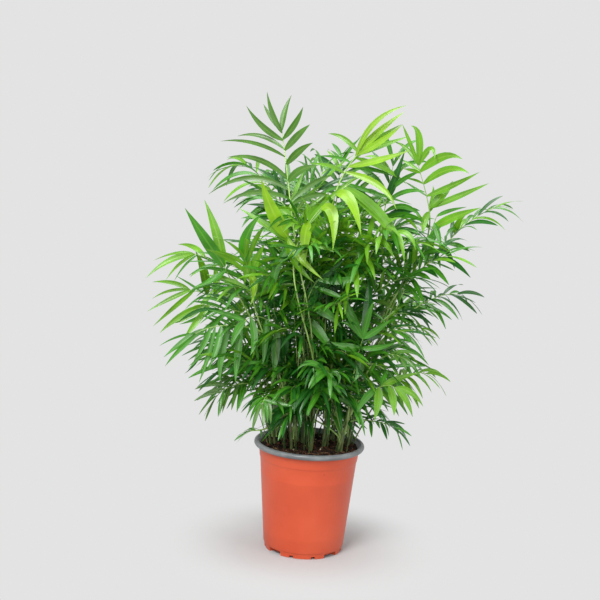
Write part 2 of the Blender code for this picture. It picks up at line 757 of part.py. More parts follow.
def make_plant():
    """Canes, then the courses of all fronds, then the fronds with the leaflets that fit."""
    plain_material("cane", CANE_COLOUR, 0.55)
    for tone, colour in TONES.items():
        plain_material("leaf_" + tone, colour, 0.4)
    thicket = Thicket()
    for number, cane in enumerate(CANES):
        make_cane(number, cane, thicket)
    fills = filling_rows(FILLS, FILL_SEED, FILL_SWAY)
    rows = [("frond_" + row[0], *row[1:]) for row in (*shown_rows(), *fills)]
    orders = [0] * len(CANES)
    fronds = []
    for row in rows:
        frond = place_frond(row, orders[row[1]], thicket)
        if frond:
            orders[row[1]] += 1
            fronds.append(frond)
    for frond in fronds:
        leaflets = choose_leaflets(frond, thicket)
        make_frond(frond, leaflets)
        print(frond.name, len(leaflets), "of", frond.pairs * 2)


for leftover in list(bpy.data.objects):
    bpy.data.objects.remove(leftover)
make_pot()
make_rim()
make_soil()
make_plant()
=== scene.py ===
import random
from math import atan2, cos, dist, pi, radians, sin

import bmesh
import bpy
import numpy as np
from mathutils import Matrix, Vector, noise
from mathutils.bvhtree import BVHTree


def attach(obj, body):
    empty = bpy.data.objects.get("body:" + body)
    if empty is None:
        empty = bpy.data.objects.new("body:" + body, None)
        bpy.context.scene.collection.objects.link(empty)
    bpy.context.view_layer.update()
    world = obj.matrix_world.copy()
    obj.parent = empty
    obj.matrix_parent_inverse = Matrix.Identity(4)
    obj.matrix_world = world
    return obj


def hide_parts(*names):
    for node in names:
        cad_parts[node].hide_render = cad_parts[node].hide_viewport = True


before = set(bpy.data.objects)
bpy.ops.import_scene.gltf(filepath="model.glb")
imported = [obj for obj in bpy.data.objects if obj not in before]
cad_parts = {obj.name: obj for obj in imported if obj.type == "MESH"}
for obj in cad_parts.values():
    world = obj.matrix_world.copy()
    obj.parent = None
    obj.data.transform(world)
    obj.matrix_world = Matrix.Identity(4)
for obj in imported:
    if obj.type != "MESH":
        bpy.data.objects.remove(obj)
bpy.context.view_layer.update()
scene = bpy.context.scene
MM = 0.001
UP = Vector((0.0, 0.0, 1.0))


# Camera
# A long lens from the front, a little above the pot's rim. The photograph leans by a few
# degrees, so the camera is rolled by as much.
PICTURE_MIDDLE = 300
SENSOR_MM = 36.0

# Where the eye is, in mm, how far its sight is turned, dipped and rolled, in degrees, and how far
# from it a thing shows at its own size in the picture
EYE = (0.0, -1454.0, 538.0)
EYE_TURN = -0.9
EYE_DIP = 8.59
EYE_ROLL = 3.5
EYE_REACH = 1180.0


def sight_axes():
    """Directions ahead, right and up of the picture."""
    turn, dip, roll = radians(EYE_TURN), radians(EYE_DIP), radians(EYE_ROLL)
    ahead = Vector((sin(turn) * cos(dip), cos(turn) * cos(dip), -sin(dip)))
    level = Vector((cos(turn), -sin(turn), 0))
    upright = level.cross(ahead)
    right = level * cos(roll) + upright * sin(roll)
    up = upright * cos(roll) - level * sin(roll)
    return ahead, right, up


AHEAD, RIGHTWARD, UPWARD = sight_axes()
camera_data = bpy.data.cameras.new("camera")
camera_data.sensor_width = SENSOR_MM
camera_data.lens = EYE_REACH / (2 * PICTURE_MIDDLE) * SENSOR_MM
camera = bpy.data.objects.new("camera", camera_data)
scene.collection.objects.link(camera)
camera_turn = Matrix((RIGHTWARD, UPWARD, -AHEAD)).transposed()
camera.matrix_world = Matrix.Translation(Vector(EYE) * MM) @ camera_turn.to_4x4()
scene.camera = camera
scene.view_settings.view_transform = "Standard"


# Studio
# A grey floor, darker than the surround so that it paints a shadow round the pot on top of the shade
# the lamps cast, fades into an even pale grey surround a step away from the pot; a soft lamp overhead,
# a key lamp at the front left and weaker ones in front and at the right.
SURROUND_GREY = (0.768, 0.768, 0.768, 1)
PAINTED_SHADOW_FLOOR_GREY = (0.45, 0.45, 0.45, 1)
FLOOR_RADIUS = 6.0
SHADOW_FADE_START = 0.075
SHADOW_FADE_END = 0.20
AMBIENT = 0.62

# Lamps: name, place, width and height in metres, watts. All of them point at LAMP_AIM
LAMP_AIM = Vector((0, 0, 0.3))
LAMPS = (
    ("key", (-0.6, -1.3, 1.6), 0.7, 0.7, 36.0),
    ("overhead", (0.1, 0.1, 1.7), 1.2, 1.2, 26.0),
    ("right_fill", (1.3, -0.9, 0.7), 0.6, 1.0, 6.0),
    ("front_fill", (-0.3, -1.8, 0.9), 1.4, 0.9, 11.0),
)


def add_node(tree, kind, inputs=(), **settings):
    """A shader node; inputs maps a socket's name or number to a value or to another socket."""
    node = tree.nodes.new(kind)
    for name, value in settings.items():
        setattr(node, name, value)
    for socket, value in dict(inputs).items():
        if isinstance(value, bpy.types.NodeSocket):
            tree.links.new(value, node.inputs[socket])
        else:
            node.inputs[socket].default_value = value
    return node


def new_material(name):
    """A node material, with its node tree and its Principled shader."""
    material = bpy.data.materials.new(name)
    material.use_nodes = True
    return material, material.node_tree, material.node_tree.nodes["Principled BSDF"]


def mapped(tree, value, low, high, at_low=0.0, at_high=1.0, **settings):
    """A value carried over from one span to another, and held at the ends."""
    span = {"Value": value, "From Min": low, "From Max": high, "To Min": at_low, "To Max": at_high}
    return add_node(tree, "ShaderNodeMapRange", span, **settings).outputs["Result"]


world = bpy.data.worlds.new("studio")
scene.world = world
world.use_nodes = True
tree = world.node_tree
tree.nodes.clear()
seen = add_node(tree, "ShaderNodeBackground", {"Color": SURROUND_GREY})
lit = add_node(tree, "ShaderNodeBackground", {"Color": (1, 1, 1, 1), "Strength": AMBIENT})
path = add_node(tree, "ShaderNodeLightPath")
blend = add_node(tree, "ShaderNodeMixShader",
                 {0: path.outputs["Is Diffuse Ray"], 1: seen.outputs[0], 2: lit.outputs[0]})
add_node(tree, "ShaderNodeOutputWorld", {"Surface": blend.outputs[0]})

for name, place, width, height, watts in LAMPS:
    lamp_data = bpy.data.lights.new(name, "AREA")
    lamp_data.shape = "RECTANGLE"
    lamp_data.size = width
    lamp_data.size_y = height
    lamp_data.energy = watts
    lamp = bpy.data.objects.new(name, lamp_data)
    lamp.location = place
    lamp.rotation_euler = (Vector(place) - LAMP_AIM).to_track_quat("Z", "Y").to_euler()
    scene.collection.objects.link(lamp)

floor_shape = bmesh.new()
bmesh.ops.create_circle(floor_shape, cap_ends=True, segments=96, radius=FLOOR_RADIUS)
floor_mesh = bpy.data.meshes.new("floor")
floor_shape.to_mesh(floor_mesh)
floor_shape.free()
floor = bpy.data.objects.new("floor", floor_mesh)
scene.collection.objects.link(floor)
floor_material, tree, shader = new_material("pale_floor")
# The floor is a darker grey than the surround: a painted shadow round the pot, which the lamps also
# light and shade.
shader.inputs["Base Color"].default_value = PAINTED_SHADOW_FLOOR_GREY
shader.inputs["Roughness"].default_value = 0.9
shader.inputs["Specular IOR Level"].default_value = 0.1
spot = add_node(tree, "ShaderNodeTexCoord").outputs["Object"]
reach = add_node(tree, "ShaderNodeVectorMath", {0: spot}, operation="LENGTH").outputs["Value"]
# Near the pot the floor keeps its darker grey, the painted shadow, and further out it fades into the
# glowing surround.
painted_shadow_fade = mapped(tree, reach, SHADOW_FADE_START, SHADOW_FADE_END, interpolation_type="SMOOTHSTEP")
glow = add_node(tree, "ShaderNodeEmission", {"Color": SURROUND_GREY})
mixed = add_node(tree, "ShaderNodeMixShader", {0: painted_shadow_fade, 1: shader.outputs[0], 2: glow.outputs[0]})
tree.links.new(mixed.outputs[0], tree.nodes["Material Output"].inputs["Surface"])
floor_mesh.materials.append(floor_material)


# Pot
# A thin nursery pot moulded in terracotta-coloured plastic. Its wall tapers, with a faint step
# under the rim, and its foot ring has four raised arches and eight small drain notches.
POT_STEPS = 144
WALL_FOOT = 51.2 * MM
WALL_TOP = 62.6 * MM
POT_FOOT_HEIGHT = 7.0 * MM
LIP_HEIGHT = 132.0 * MM
POT_FLOOR = 4.0 * MM
INNER_FOOT = 48.7 * MM
INNER_TOP = 60.2 * MM
ARCHES = 4
ARCH_HALF = radians(11.5)
ARCH_RISE = 5.5 * MM
NOTCH_OFFSET = radians(16.0)
NOTCH_HALF = radians(2.9)
NOTCH_RISE = 3.5 * MM
RECESS_DEPTH = 7.0 * MM
FOOT_RADIUS = 49.6 * MM
CUT_OUTWARD = 6.0 * MM
CUT_BELOW = 2.0 * MM
TERRACOTTA = (0.52, 0.063, 0.016, 1)
TERRACOTTA_PALE = (0.55, 0.077, 0.023, 1)
TERRACOTTA_DEEP = (0.48, 0.054, 0.012, 1)
SPECK = (0.10, 0.03, 0.02, 1)


def turned(profile, steps):
    """A bmesh turned about the upright axis from (radius, height) points."""
    bm = bmesh.new()
    verts = [bm.verts.new((radius, 0.0, height)) for radius, height in profile]
    edges = [bm.edges.new(pair) for pair in zip(verts, verts[1:])]
    bmesh.ops.spin(bm, geom=verts + edges, axis=UP, cent=(0, 0, 0), steps=steps, angle=2 * pi,
                   use_merge=True)
    bmesh.ops.remove_doubles(bm, verts=bm.verts, dist=1e-6)
    bmesh.ops.recalc_face_normals(bm, faces=bm.faces)
    return bm


def new_piece(name, mesh, material, nodes=(), smooth=30.0):
    """Dress a mesh, make it a piece that rides on the body and hide the CAD parts it replaces."""
    mesh.materials.append(material)
    mesh.shade_smooth()
    mesh.set_sharp_from_angle(angle=radians(smooth))
    piece = bpy.data.objects.new(name, mesh)
    scene.collection.objects.link(piece)
    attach(piece, "root")
    if nodes:
        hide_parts(*nodes)
    return piece


def mesh_from(bm, name):
    """The mesh of a finished bmesh."""
    mesh = bpy.data.meshes.new(name)
    bm.to_mesh(mesh)
    bm.free()
    return mesh


def wall_radius(height):
    """Radius of the outer wall at a height."""
    share = (height - POT_FOOT_HEIGHT) / (LIP_HEIGHT - POT_FOOT_HEIGHT)
    return WALL_FOOT + share * (WALL_TOP - WALL_FOOT)


def inner_radius(height):
    """Radius of the inner wall at a height."""
    share = (height - POT_FLOOR) / (LIP_HEIGHT - POT_FLOOR)
    return INNER_FOOT + share * (INNER_TOP - INNER_FOOT)


def foot_cutter(direction, half_angle, rise):
    """A wedge that opens the foot ring at one direction, from below the pot up to rise."""
    bm = bmesh.new()
    bmesh.ops.create_cube(bm, size=1.0)
    for vert in bm.verts:
        radius = FOOT_RADIUS + (CUT_OUTWARD if vert.co.x > 0 else -RECESS_DEPTH)
        angle = direction + (half_angle if vert.co.y > 0 else -half_angle)
        height = rise if vert.co.z > 0 else -CUT_BELOW
        vert.co = (radius * cos(angle), radius * sin(angle), height)
    cutter = bpy.data.objects.new("foot_cutter", mesh_from(bm, "foot_cutter"))
    scene.collection.objects.link(cutter)
    return cutter


def ring_line(height, depth, half):
    """Profile points of a shallow raised line round the wall."""
    return [(wall_radius(height - half), height - half), (wall_radius(height) + depth, height),
            (wall_radius(height + half), height + half)]


pot_profile = [
    (0.0, 0.0),
    (FOOT_RADIUS - 0.5 * MM, 0.0),
    (FOOT_RADIUS, 0.5 * MM),
    (FOOT_RADIUS + 0.5 * MM, 6.0 * MM),
    (FOOT_RADIUS + 0.8 * MM, 6.7 * MM),
    (WALL_FOOT - 0.1 * MM, 7.3 * MM),
    (WALL_FOOT + 0.15 * MM, 8.2 * MM),
    *ring_line(24 * MM, 0.10 * MM, 1.0 * MM),
    (wall_radius(60 * MM), 60 * MM),
    *ring_line(98 * MM, 0.12 * MM, 0.8 * MM),
    (wall_radius(116.4 * MM), 116.4 * MM),
    (wall_radius(117.4 * MM) + 0.15 * MM, 117.4 * MM),
    (wall_radius(118.2 * MM) + 0.6 * MM, 118.2 * MM),
    (wall_radius(119.2 * MM) + 0.7 * MM, 119.2 * MM),
    (WALL_TOP + 0.7 * MM, 129.8 * MM),
    (64.2 * MM, 130.7 * MM),
    (65.6 * MM, 131.3 * MM),
    (65.6 * MM, LIP_HEIGHT),
    (INNER_TOP, LIP_HEIGHT),
    (INNER_FOOT, POT_FLOOR),
    (0.0, POT_FLOOR),
]
blank = bpy.data.objects.new("pot_blank", mesh_from(turned(pot_profile, POT_STEPS), "pot_blank"))
scene.collection.objects.link(blank)
cutters = []
for index in range(ARCHES):
    foot = -pi / 2 + index * 2 * pi / ARCHES
    cutters.append(foot_cutter(foot + pi / ARCHES, ARCH_HALF, ARCH_RISE))
    for side in (-1, 1):
        cutters.append(foot_cutter(foot + side * NOTCH_OFFSET, NOTCH_HALF, NOTCH_RISE))
for cutter in cutters:
    cut = blank.modifiers.new("cut", "BOOLEAN")
    cut.operation = "DIFFERENCE"
    cut.solver = "EXACT"
    cut.object = cutter
pot_mesh = bpy.data.meshes.new_from_object(
    blank.evaluated_get(bpy.context.evaluated_depsgraph_get()))
for helper in (blank, *cutters):
    bpy.data.objects.remove(helper)


def cloud(tree, spot, scale, detail):
    """A noise over the surface."""
    settings = {"Vector": spot, "Scale": scale, "Detail": detail}
    return add_node(tree, "ShaderNodeTexNoise", settings).outputs["Fac"]


def worked(tree, operation, *values):
    """What an operation makes of one value, or of two or three."""
    return add_node(tree, "ShaderNodeMath", enumerate(values), operation=operation).outputs[0]


def ramped(tree, value, first, *between, last):
    """A colour that follows a value through stops, each a level and its colour."""
    node = add_node(tree, "ShaderNodeValToRGB", {"Fac": value})
    stops = node.color_ramp.elements
    stops[0].position, stops[0].color = first
    stops[1].position, stops[1].color = last
    for level, colour in between:
        stops.new(level).color = colour
    return node.outputs["Color"]


def roughen(tree, shader, height, strength, distance):
    """Let a height show as fine relief."""
    relief = {"Height": height, "Strength": strength, "Distance": distance}
    bump = add_node(tree, "ShaderNodeBump", relief)
    tree.links.new(bump.outputs["Normal"], shader.inputs["Normal"])


pot_plastic, tree, shader = new_material("terracotta_plastic")
spot = add_node(tree, "ShaderNodeTexCoord").outputs["Object"]
haze = cloud(tree, spot, 16.0, 5.0)
tone = ramped(tree, haze, (0.32, TERRACOTTA_DEEP), (0.5, TERRACOTTA), last=(0.72, TERRACOTTA_PALE))
dots = add_node(tree, "ShaderNodeTexVoronoi", {"Vector": spot, "Scale": 95.0})
dot_size = mapped(tree, dots.outputs["Distance"], 0.05, 0.13, 1.0, 0.0)
pick = add_node(tree, "ShaderNodeSeparateColor", {"Color": dots.outputs["Color"]})
rare = worked(tree, "GREATER_THAN", pick.outputs["Red"], 0.955)
dotted = worked(tree, "MULTIPLY", dot_size, rare)
specked = add_node(tree, "ShaderNodeMix", {"Factor": dotted, "A": tone, "B": SPECK},
                   data_type="RGBA")
tree.links.new(specked.outputs["Result"], shader.inputs["Base Color"])
tree.links.new(mapped(tree, haze, 0.0, 1.0, 0.36, 0.52), shader.inputs["Roughness"])
shader.inputs["Specular IOR Level"].default_value = 0.6
dents = worked(tree, "MULTIPLY_ADD", cloud(tree, spot, 22.0, 1.0), 12.0,
               cloud(tree, spot, 420.0, 3.0))
roughen(tree, shader, dents, 0.25, 0.00025)
new_piece("pot_shell", pot_mesh, pot_plastic, ["pot"])


# Rim
# The slate-grey rolled bead that finishes the pot's mouth, with a thin skirt that lines the
# inside of the wall. It is one turned piece of matt plastic with a worn sheen on top.
RIM_OUTER = 69.9 * MM
RIM_INNER = 63.5 * MM
RIM_FOOT = 132.1 * MM
RIM_TOP = 139.0 * MM
RIM_SKIRT = 122.0 * MM
RIM_STEPS = 10
RIM_CURL = 1.35
SLATE = (0.115, 0.125, 0.130, 1)
SLATE_PALE = (0.23, 0.245, 0.25, 1)

rim_middle = ((RIM_OUTER + RIM_INNER) / 2, (RIM_FOOT + RIM_TOP) / 2)
half_width = (RIM_OUTER - RIM_INNER) / 2
half_height = (RIM_TOP - RIM_FOOT) / 2
rim_profile = []
for step in range(RIM_STEPS + 1):
    angle = -pi / 2 + step * RIM_CURL * pi / RIM_STEPS
    rim_profile.append((rim_middle[0] + half_width * cos(angle),
                        rim_middle[1] + half_height * sin(angle)))
skirt_top = rim_profile[-1]
skirt_foot = inner_radius(RIM_SKIRT) - 0.1 * MM
rim_profile += [
    (skirt_top[0] - 1.2 * MM, skirt_top[1] - 1.6 * MM),
    (inner_radius(LIP_HEIGHT) - 0.5 * MM, LIP_HEIGHT - 0.6 * MM),
    (skirt_foot - 0.7 * MM, RIM_SKIRT),
    (skirt_foot, RIM_SKIRT - 0.3 * MM),
    (inner_radius(LIP_HEIGHT) + 0.3 * MM, RIM_FOOT),
    rim_profile[0],
]


def new_group(name, inputs, outputs):
    """A node group with named sockets, the values given to it and the results it puts out."""
    group = bpy.data.node_groups.new(name, "ShaderNodeTree")
    for way, sockets in (("INPUT", inputs), ("OUTPUT", outputs)):
        for socket, kind in sockets.items():
            group.interface.new_socket(socket, in_out=way, socket_type="NodeSocket" + kind)
    given = add_node(group, "NodeGroupInput").outputs
    return group, given, add_node(group, "NodeGroupOutput").inputs


def mottle_group():
    """Clouds that turn from a dark colour at Low to a pale one at High."""
    group, given, out = new_group(
        "mottle",
        {"Dark": "Color", "Pale": "Color", "Scale": "Float", "Detail": "Float",
         "Low": "Float", "High": "Float"},
        {"Color": "Color", "Cloud": "Float"})
    spot = add_node(group, "ShaderNodeTexCoord").outputs["Object"]
    haze = cloud(group, spot, given["Scale"], given["Detail"])
    mixed = add_node(group, "ShaderNodeMix",
                     {"Factor": mapped(group, haze, given["Low"], given["High"]),
                      "A": given["Dark"], "B": given["Pale"]}, data_type="RGBA")
    group.links.new(mixed.outputs["Result"], out["Color"])
    group.links.new(haze, out["Cloud"])
    return group


mottle = mottle_group()


def mottled_material(name, roughness=0.5, **clouds):
    """A material in clouds of two colours, with its tree, its shader and the clouds."""
    material, tree, shader = new_material(name)
    surface = add_node(tree, "ShaderNodeGroup", clouds, node_tree=mottle)
    tree.links.new(surface.outputs["Color"], shader.inputs["Base Color"])
    shader.inputs["Roughness"].default_value = roughness
    return material, tree, shader, surface.outputs["Cloud"]


slate_plastic, tree, shader, haze = mottled_material(
    "slate_plastic", Dark=SLATE, Pale=SLATE_PALE, Scale=55.0, Detail=6.0, Low=0.4, High=0.75)
tree.links.new(mapped(tree, haze, 0.0, 1.0, 0.30, 0.55), shader.inputs["Roughness"])
spot = add_node(tree, "ShaderNodeTexCoord").outputs["Object"]
roughen(tree, shader, cloud(tree, spot, 300.0, 3.0), 0.3, 0.0002)
new_piece("pot_rim_bead", mesh_from(turned(rim_profile, POT_STEPS), "pot_rim_bead"),
          slate_plastic, ["pot_rim"])


# Soil
# Dark peaty compost, a little below the rim: a lumpy top over a plain plug, with loose crumbs,
# reddish bark fibres and a few pale flecks pressed into it.
SOIL_RADIUS = 63.0 * MM
SOIL_LEVEL = 134.5 * MM
SOIL_SINK = 0.6 * MM
SOIL_SHOULDER = 54.0 * MM
SOIL_FALL = 0.3 * MM
SOIL_MOUND = 0.6 * MM
SOIL_LUMP = 2.2 * MM
COARSE_LUMPS = 70
FINE_LUMPS = 210
FINE_SHARE = 0.3
PLUG_FOOT = POT_FLOOR + 0.4 * MM
PLUG_GAP = 1.3 * MM
COMPOST = (0.012, 0.007, 0.005, 1)
COMPOST_PALE = (0.040, 0.021, 0.013, 1)
FIBRE_RED = (0.11, 0.042, 0.022, 1)
FIBRE_TAN = (0.34, 0.22, 0.11, 1)
FLECK = (0.72, 0.66, 0.52, 1)

# Loose matter: how many, the least and the most size or length, and the seed of its places
CRUMBS = (520, 0.8 * MM, 3.6 * MM, 3)
FLECKS = (16, 1.0 * MM, 2.2 * MM, 8)
FIBRES = (150, 6 * MM, 20 * MM, 5)
FIBRE_THICKNESS = 0.28 * MM
FIBRE_BEND = 1.2
FIBRE_STEPS = 5
FIBRE_ARCH = (0.2, 0.9)
CRUMB_REACH = 0.97
CRUMB_RISE = 0.25
CRUMB_SQUASH = (0.6, 1.0)
CRUMB_DENT = 0.35
DENT_PITCH = 700
FIBRE_REACH = 0.93
OUTERMOST = 0.98


def soil_height(x, y):
    """Height of the soil's surface at a place."""
    spot = Vector((x, y, 0.0))
    lump = (noise.noise(spot * COARSE_LUMPS) * (1 - FINE_SHARE)
            + noise.noise(spot * FINE_LUMPS) * FINE_SHARE)
    reach = spot.length
    fall = max(0.0, reach - SOIL_SHOULDER) / (SOIL_RADIUS - SOIL_SHOULDER) * SOIL_FALL
    mound = (1.0 - (reach / SOIL_RADIUS) ** 2) * SOIL_MOUND
    return SOIL_LEVEL - SOIL_SINK + lump * SOIL_LUMP + mound - fall


soil_shape = bmesh.new()
bmesh.ops.create_grid(soil_shape, x_segments=72, y_segments=72, size=SOIL_RADIUS)
for vert in soil_shape.verts:
    x, y = vert.co.x / SOIL_RADIUS, vert.co.y / SOIL_RADIUS
    x, y = x * (1 - y * y / 2) ** 0.5, y * (1 - x * x / 2) ** 0.5
    vert.co = (x * SOIL_RADIUS, y * SOIL_RADIUS, 0.0)
    vert.co.z = soil_height(vert.co.x, vert.co.y)
edge = [item for item in soil_shape.edges if item.is_boundary]
skirt = bmesh.ops.extrude_edge_only(soil_shape, edges=edge)["geom"]
for vert in (item for item in skirt if isinstance(item, bmesh.types.BMVert)):
    vert.co.z = PLUG_FOOT
    vert.co.xy *= (inner_radius(vert.co.z) - PLUG_GAP) / SOIL_RADIUS
edge = [item for item in soil_shape.edges if item.is_boundary]
bmesh.ops.contextual_create(soil_shape, geom=edge)
bmesh.ops.recalc_face_normals(soil_shape, faces=soil_shape.faces)


def soil_material(name, dark, pale):
    """Rough, crumbly matter between two colours."""
    material, tree, shader, haze = mottled_material(
        name, 0.95, Dark=dark, Pale=pale, Scale=180.0, Detail=8.0, Low=0.42, High=0.68)
    shader.inputs["Specular IOR Level"].default_value = 0.2
    roughen(tree, shader, haze, 0.8, 0.001)
    return material


def scatter(rng, reach):
    """A random place on the soil, within a share of its radius."""
    angle = rng.uniform(0, 2 * pi)
    radius = SOIL_RADIUS * reach * rng.random() ** 0.5
    return radius * cos(angle), radius * sin(angle)


def crumbs(name, count, small, large, seed):
    """Lumps pressed into the soil, each a squashed and dented ball."""
    rng = random.Random(seed)
    noise.seed_set(seed)
    bm = bmesh.new()
    for _ in range(count):
        x, y = scatter(rng, CRUMB_REACH)
        size = small + (large - small) * rng.random() ** 3
        place = Matrix.Translation((x, y, soil_height(x, y) + size * CRUMB_RISE))
        squash = Matrix.Diagonal((*[size * rng.uniform(*CRUMB_SQUASH) for _ in range(3)], 1.0))
        spin = Matrix.Rotation(rng.uniform(0, 2 * pi), 4, Vector((rng.random(), rng.random(), 1)))
        lump = bmesh.ops.create_icosphere(bm, subdivisions=1, radius=1.0,
                                          matrix=place @ spin @ squash)
        for vert in lump["verts"]:
            vert.co += noise.noise_vector(vert.co * DENT_PITCH) * size * CRUMB_DENT
    return mesh_from(bm, name)


def tubes(name, thickness, fineness, runs):
    """Thin capped tubes, each along a run of places with the tube's girth there."""
    curve = bpy.data.curves.new(name, "CURVE")
    curve.dimensions = "3D"
    curve.bevel_depth = thickness
    curve.bevel_resolution = fineness
    curve.use_fill_caps = True
    for run in runs:
        spline = curve.splines.new("POLY")
        spline.points.add(len(run) - 1)
        for point, (place, girth) in zip(spline.points, run):
            point.co = (*place, 1)
            point.radius = girth
    holder = bpy.data.objects.new(name, curve)
    mesh = bpy.data.meshes.new_from_object(holder)
    bpy.data.objects.remove(holder)
    return mesh


def strands(name, count, shortest, longest, seed):
    """Fibres that lie on the soil, each a thin bent tube."""
    rng = random.Random(seed)
    runs = []
    for _ in range(count):
        x, y = scatter(rng, FIBRE_REACH)
        heading = rng.uniform(0, 2 * pi)
        length = rng.uniform(shortest, longest)
        bend = rng.uniform(-FIBRE_BEND, FIBRE_BEND)
        arch = rng.uniform(*FIBRE_ARCH) * MM
        run = []
        for step in range(FIBRE_STEPS + 1):
            share = step / FIBRE_STEPS
            angle = heading + bend * share
            px, py = x + length * share * cos(angle), y + length * share * sin(angle)
            reach = (px * px + py * py) ** 0.5
            most = SOIL_RADIUS * OUTERMOST
            if reach > most:
                px, py = px * most / reach, py * most / reach
            height = soil_height(px, py) + FIBRE_THICKNESS * 0.6 + arch * sin(pi * share)
            run.append(((px, py, height), 1.0 - 0.5 * share))
        runs.append(run)
    return tubes(name, FIBRE_THICKNESS, 0, runs)


new_piece("soil_top", mesh_from(soil_shape, "soil_top"),
          soil_material("compost", COMPOST, COMPOST_PALE), ["soil"], smooth=60)
new_piece("soil_crumbs", crumbs("soil_crumbs", *CRUMBS),
          soil_material("crumb", COMPOST, FIBRE_RED), smooth=60)
new_piece("soil_fibres", strands("soil_fibres", *FIBRES),
          soil_material("bark_fibre", FIBRE_RED, FIBRE_TAN), smooth=60)
new_piece("soil_flecks", crumbs("soil_flecks", *FLECKS),
          soil_material("pale_fleck", FIBRE_TAN, FLECK), smooth=60)


# Canes
# Ten short green canes that stand in the soil. Each is a slim stem with ring scars where old
# leaves sat, made as a turned tube and then bent along its lean.
CLEARANCE = 0.3 * MM
CANE_TAPER = 0.78
SCAR_SPACING = 11.0 * MM
SCAR_WIDTH = 1.1 * MM
SCAR_RISE = 0.25 * MM
TOP_MARGIN = 3.0 * MM
CANE_GREEN = (0.032, 0.065, 0.014, 1)
CANE_PALE = (0.10, 0.15, 0.04, 1)
CANE_SCAR = (0.13, 0.10, 0.045, 1)

# Canes: foot to the right and to the back, height, lean to the right and to the back, radius,
# in mm
CANES = (
    (-44, -8, 60, -14, -4, 1.9),
    (-31, 17, 112, -16, 10, 2.1),
    (-22, -27, 80, -12, -10, 1.9),
    (-9, 5, 124, -4, 4, 2.2),
    (2, -32, 92, 2, -12, 2.0),
    (-9, 40, 104, -4, 14, 2.1),
    (18, -9, 132, 8, -4, 2.3),
    (30, 22, 110, 16, 8, 2.2),
    (40, -24, 66, 12, -8, 1.9),
    (49, 4, 78, 16, 2, 2.0),
)


def cane_axis(cane, share):
    """Point on a cane's axis, share of the way up."""
    x, y, height, lean_x, lean_y, _ = cane
    bend = share ** 1.5
    foot = SOIL_LEVEL + CLEARANCE
    return Vector(((x + lean_x * bend) * MM, (y + lean_y * bend) * MM, foot + height * MM * share))


def cane_radius(cane, share):
    """Radius of a cane, share of the way up."""
    return cane[5] * MM * (1.0 + (CANE_TAPER - 1.0) * share)


def add_cane(bm, cane):
    """A turned stem with ring scars, bent along its lean."""
    height = cane[2] * MM
    heights = [0.0]
    scar = SCAR_SPACING
    while scar < height - TOP_MARGIN:
        heights += [scar - SCAR_WIDTH, scar, scar + SCAR_WIDTH]
        scar += SCAR_SPACING * (1.1 - 0.5 * scar / height)
    heights.append(height)
    stem = bmesh.new()
    bmesh.ops.create_circle(stem, cap_ends=True, segments=14, radius=1.0)
    base = list(stem.faces)[0]
    if base.normal.z > 0:
        base.normal_flip()
    ring = list(stem.verts)
    edges = list(stem.edges)
    last = Vector()
    for index, level in enumerate(heights):
        if index:
            grown = bmesh.ops.extrude_edge_only(stem, edges=edges)["geom"]
            ring = [item for item in grown if isinstance(item, bmesh.types.BMVert)]
            edges = [item for item in grown if isinstance(item, bmesh.types.BMEdge)]
        share = level / height
        centre = cane_axis(cane, share)
        is_scar = index % 3 == 2 and index < len(heights) - 1
        radius = cane_radius(cane, share) + (SCAR_RISE if is_scar else 0.0)
        for vert in ring:
            near = vert.co - last
            vert.co = centre + Vector((near.x, near.y, 0)).normalized() * radius
        last = centre
    bmesh.ops.contextual_create(stem, geom=edges)
    bmesh.ops.recalc_face_normals(stem, faces=stem.faces)
    part = mesh_from(stem, "stem")
    bm.from_mesh(part)
    bpy.data.meshes.remove(part)


cane_shape = bmesh.new()
for cane in CANES:
    add_cane(cane_shape, cane)
cane_skin, tree, shader = new_material("cane_skin")
spot = add_node(tree, "ShaderNodeTexCoord").outputs["Object"]
stretch = add_node(tree, "ShaderNodeMapping", {"Vector": spot, "Scale": (1.0, 1.0, 0.12)})
fibre = cloud(tree, stretch.outputs[0], 900.0, 4.0)
blotch = worked(tree, "MULTIPLY_ADD", cloud(tree, spot, 60.0, 4.0), 0.6, fibre)
tone = ramped(tree, blotch, (0.62, CANE_GREEN), (0.8, CANE_PALE), last=(1.0, CANE_SCAR))
tree.links.new(tone, shader.inputs["Base Color"])
shader.inputs["Roughness"].default_value = 0.5
roughen(tree, shader, fibre, 0.4, 0.0004)
new_piece("canes", mesh_from(cane_shape, "canes"), cane_skin,
          [f"stem_{number + 1:02d}" for number in range(len(CANES))], smooth=50)


# Frond courses
# Each cane bears a few fronds. A frond is a thin stalk that runs on as the rib of the blade.
# Its course is worked out here, and its stalk, rib and leaflets are made from it below.
STALK_BASE_RADIUS = 1.4 * MM
NECK_RADIUS = 1.1 * MM
RIB_TIP_RADIUS = 0.75 * MM
STALK_RINGS = 5
LEAFLET_SEAT = 3.2 * MM
RIB_MARGIN = 0.22 * MM

# Where stalks leave a cane: how far below its top, each next one how much lower, and the least
# share of its height
TOP_SEAT = 4.0 * MM
ATTACH_STEP = 13.0 * MM
LOWEST_SEAT = 0.15
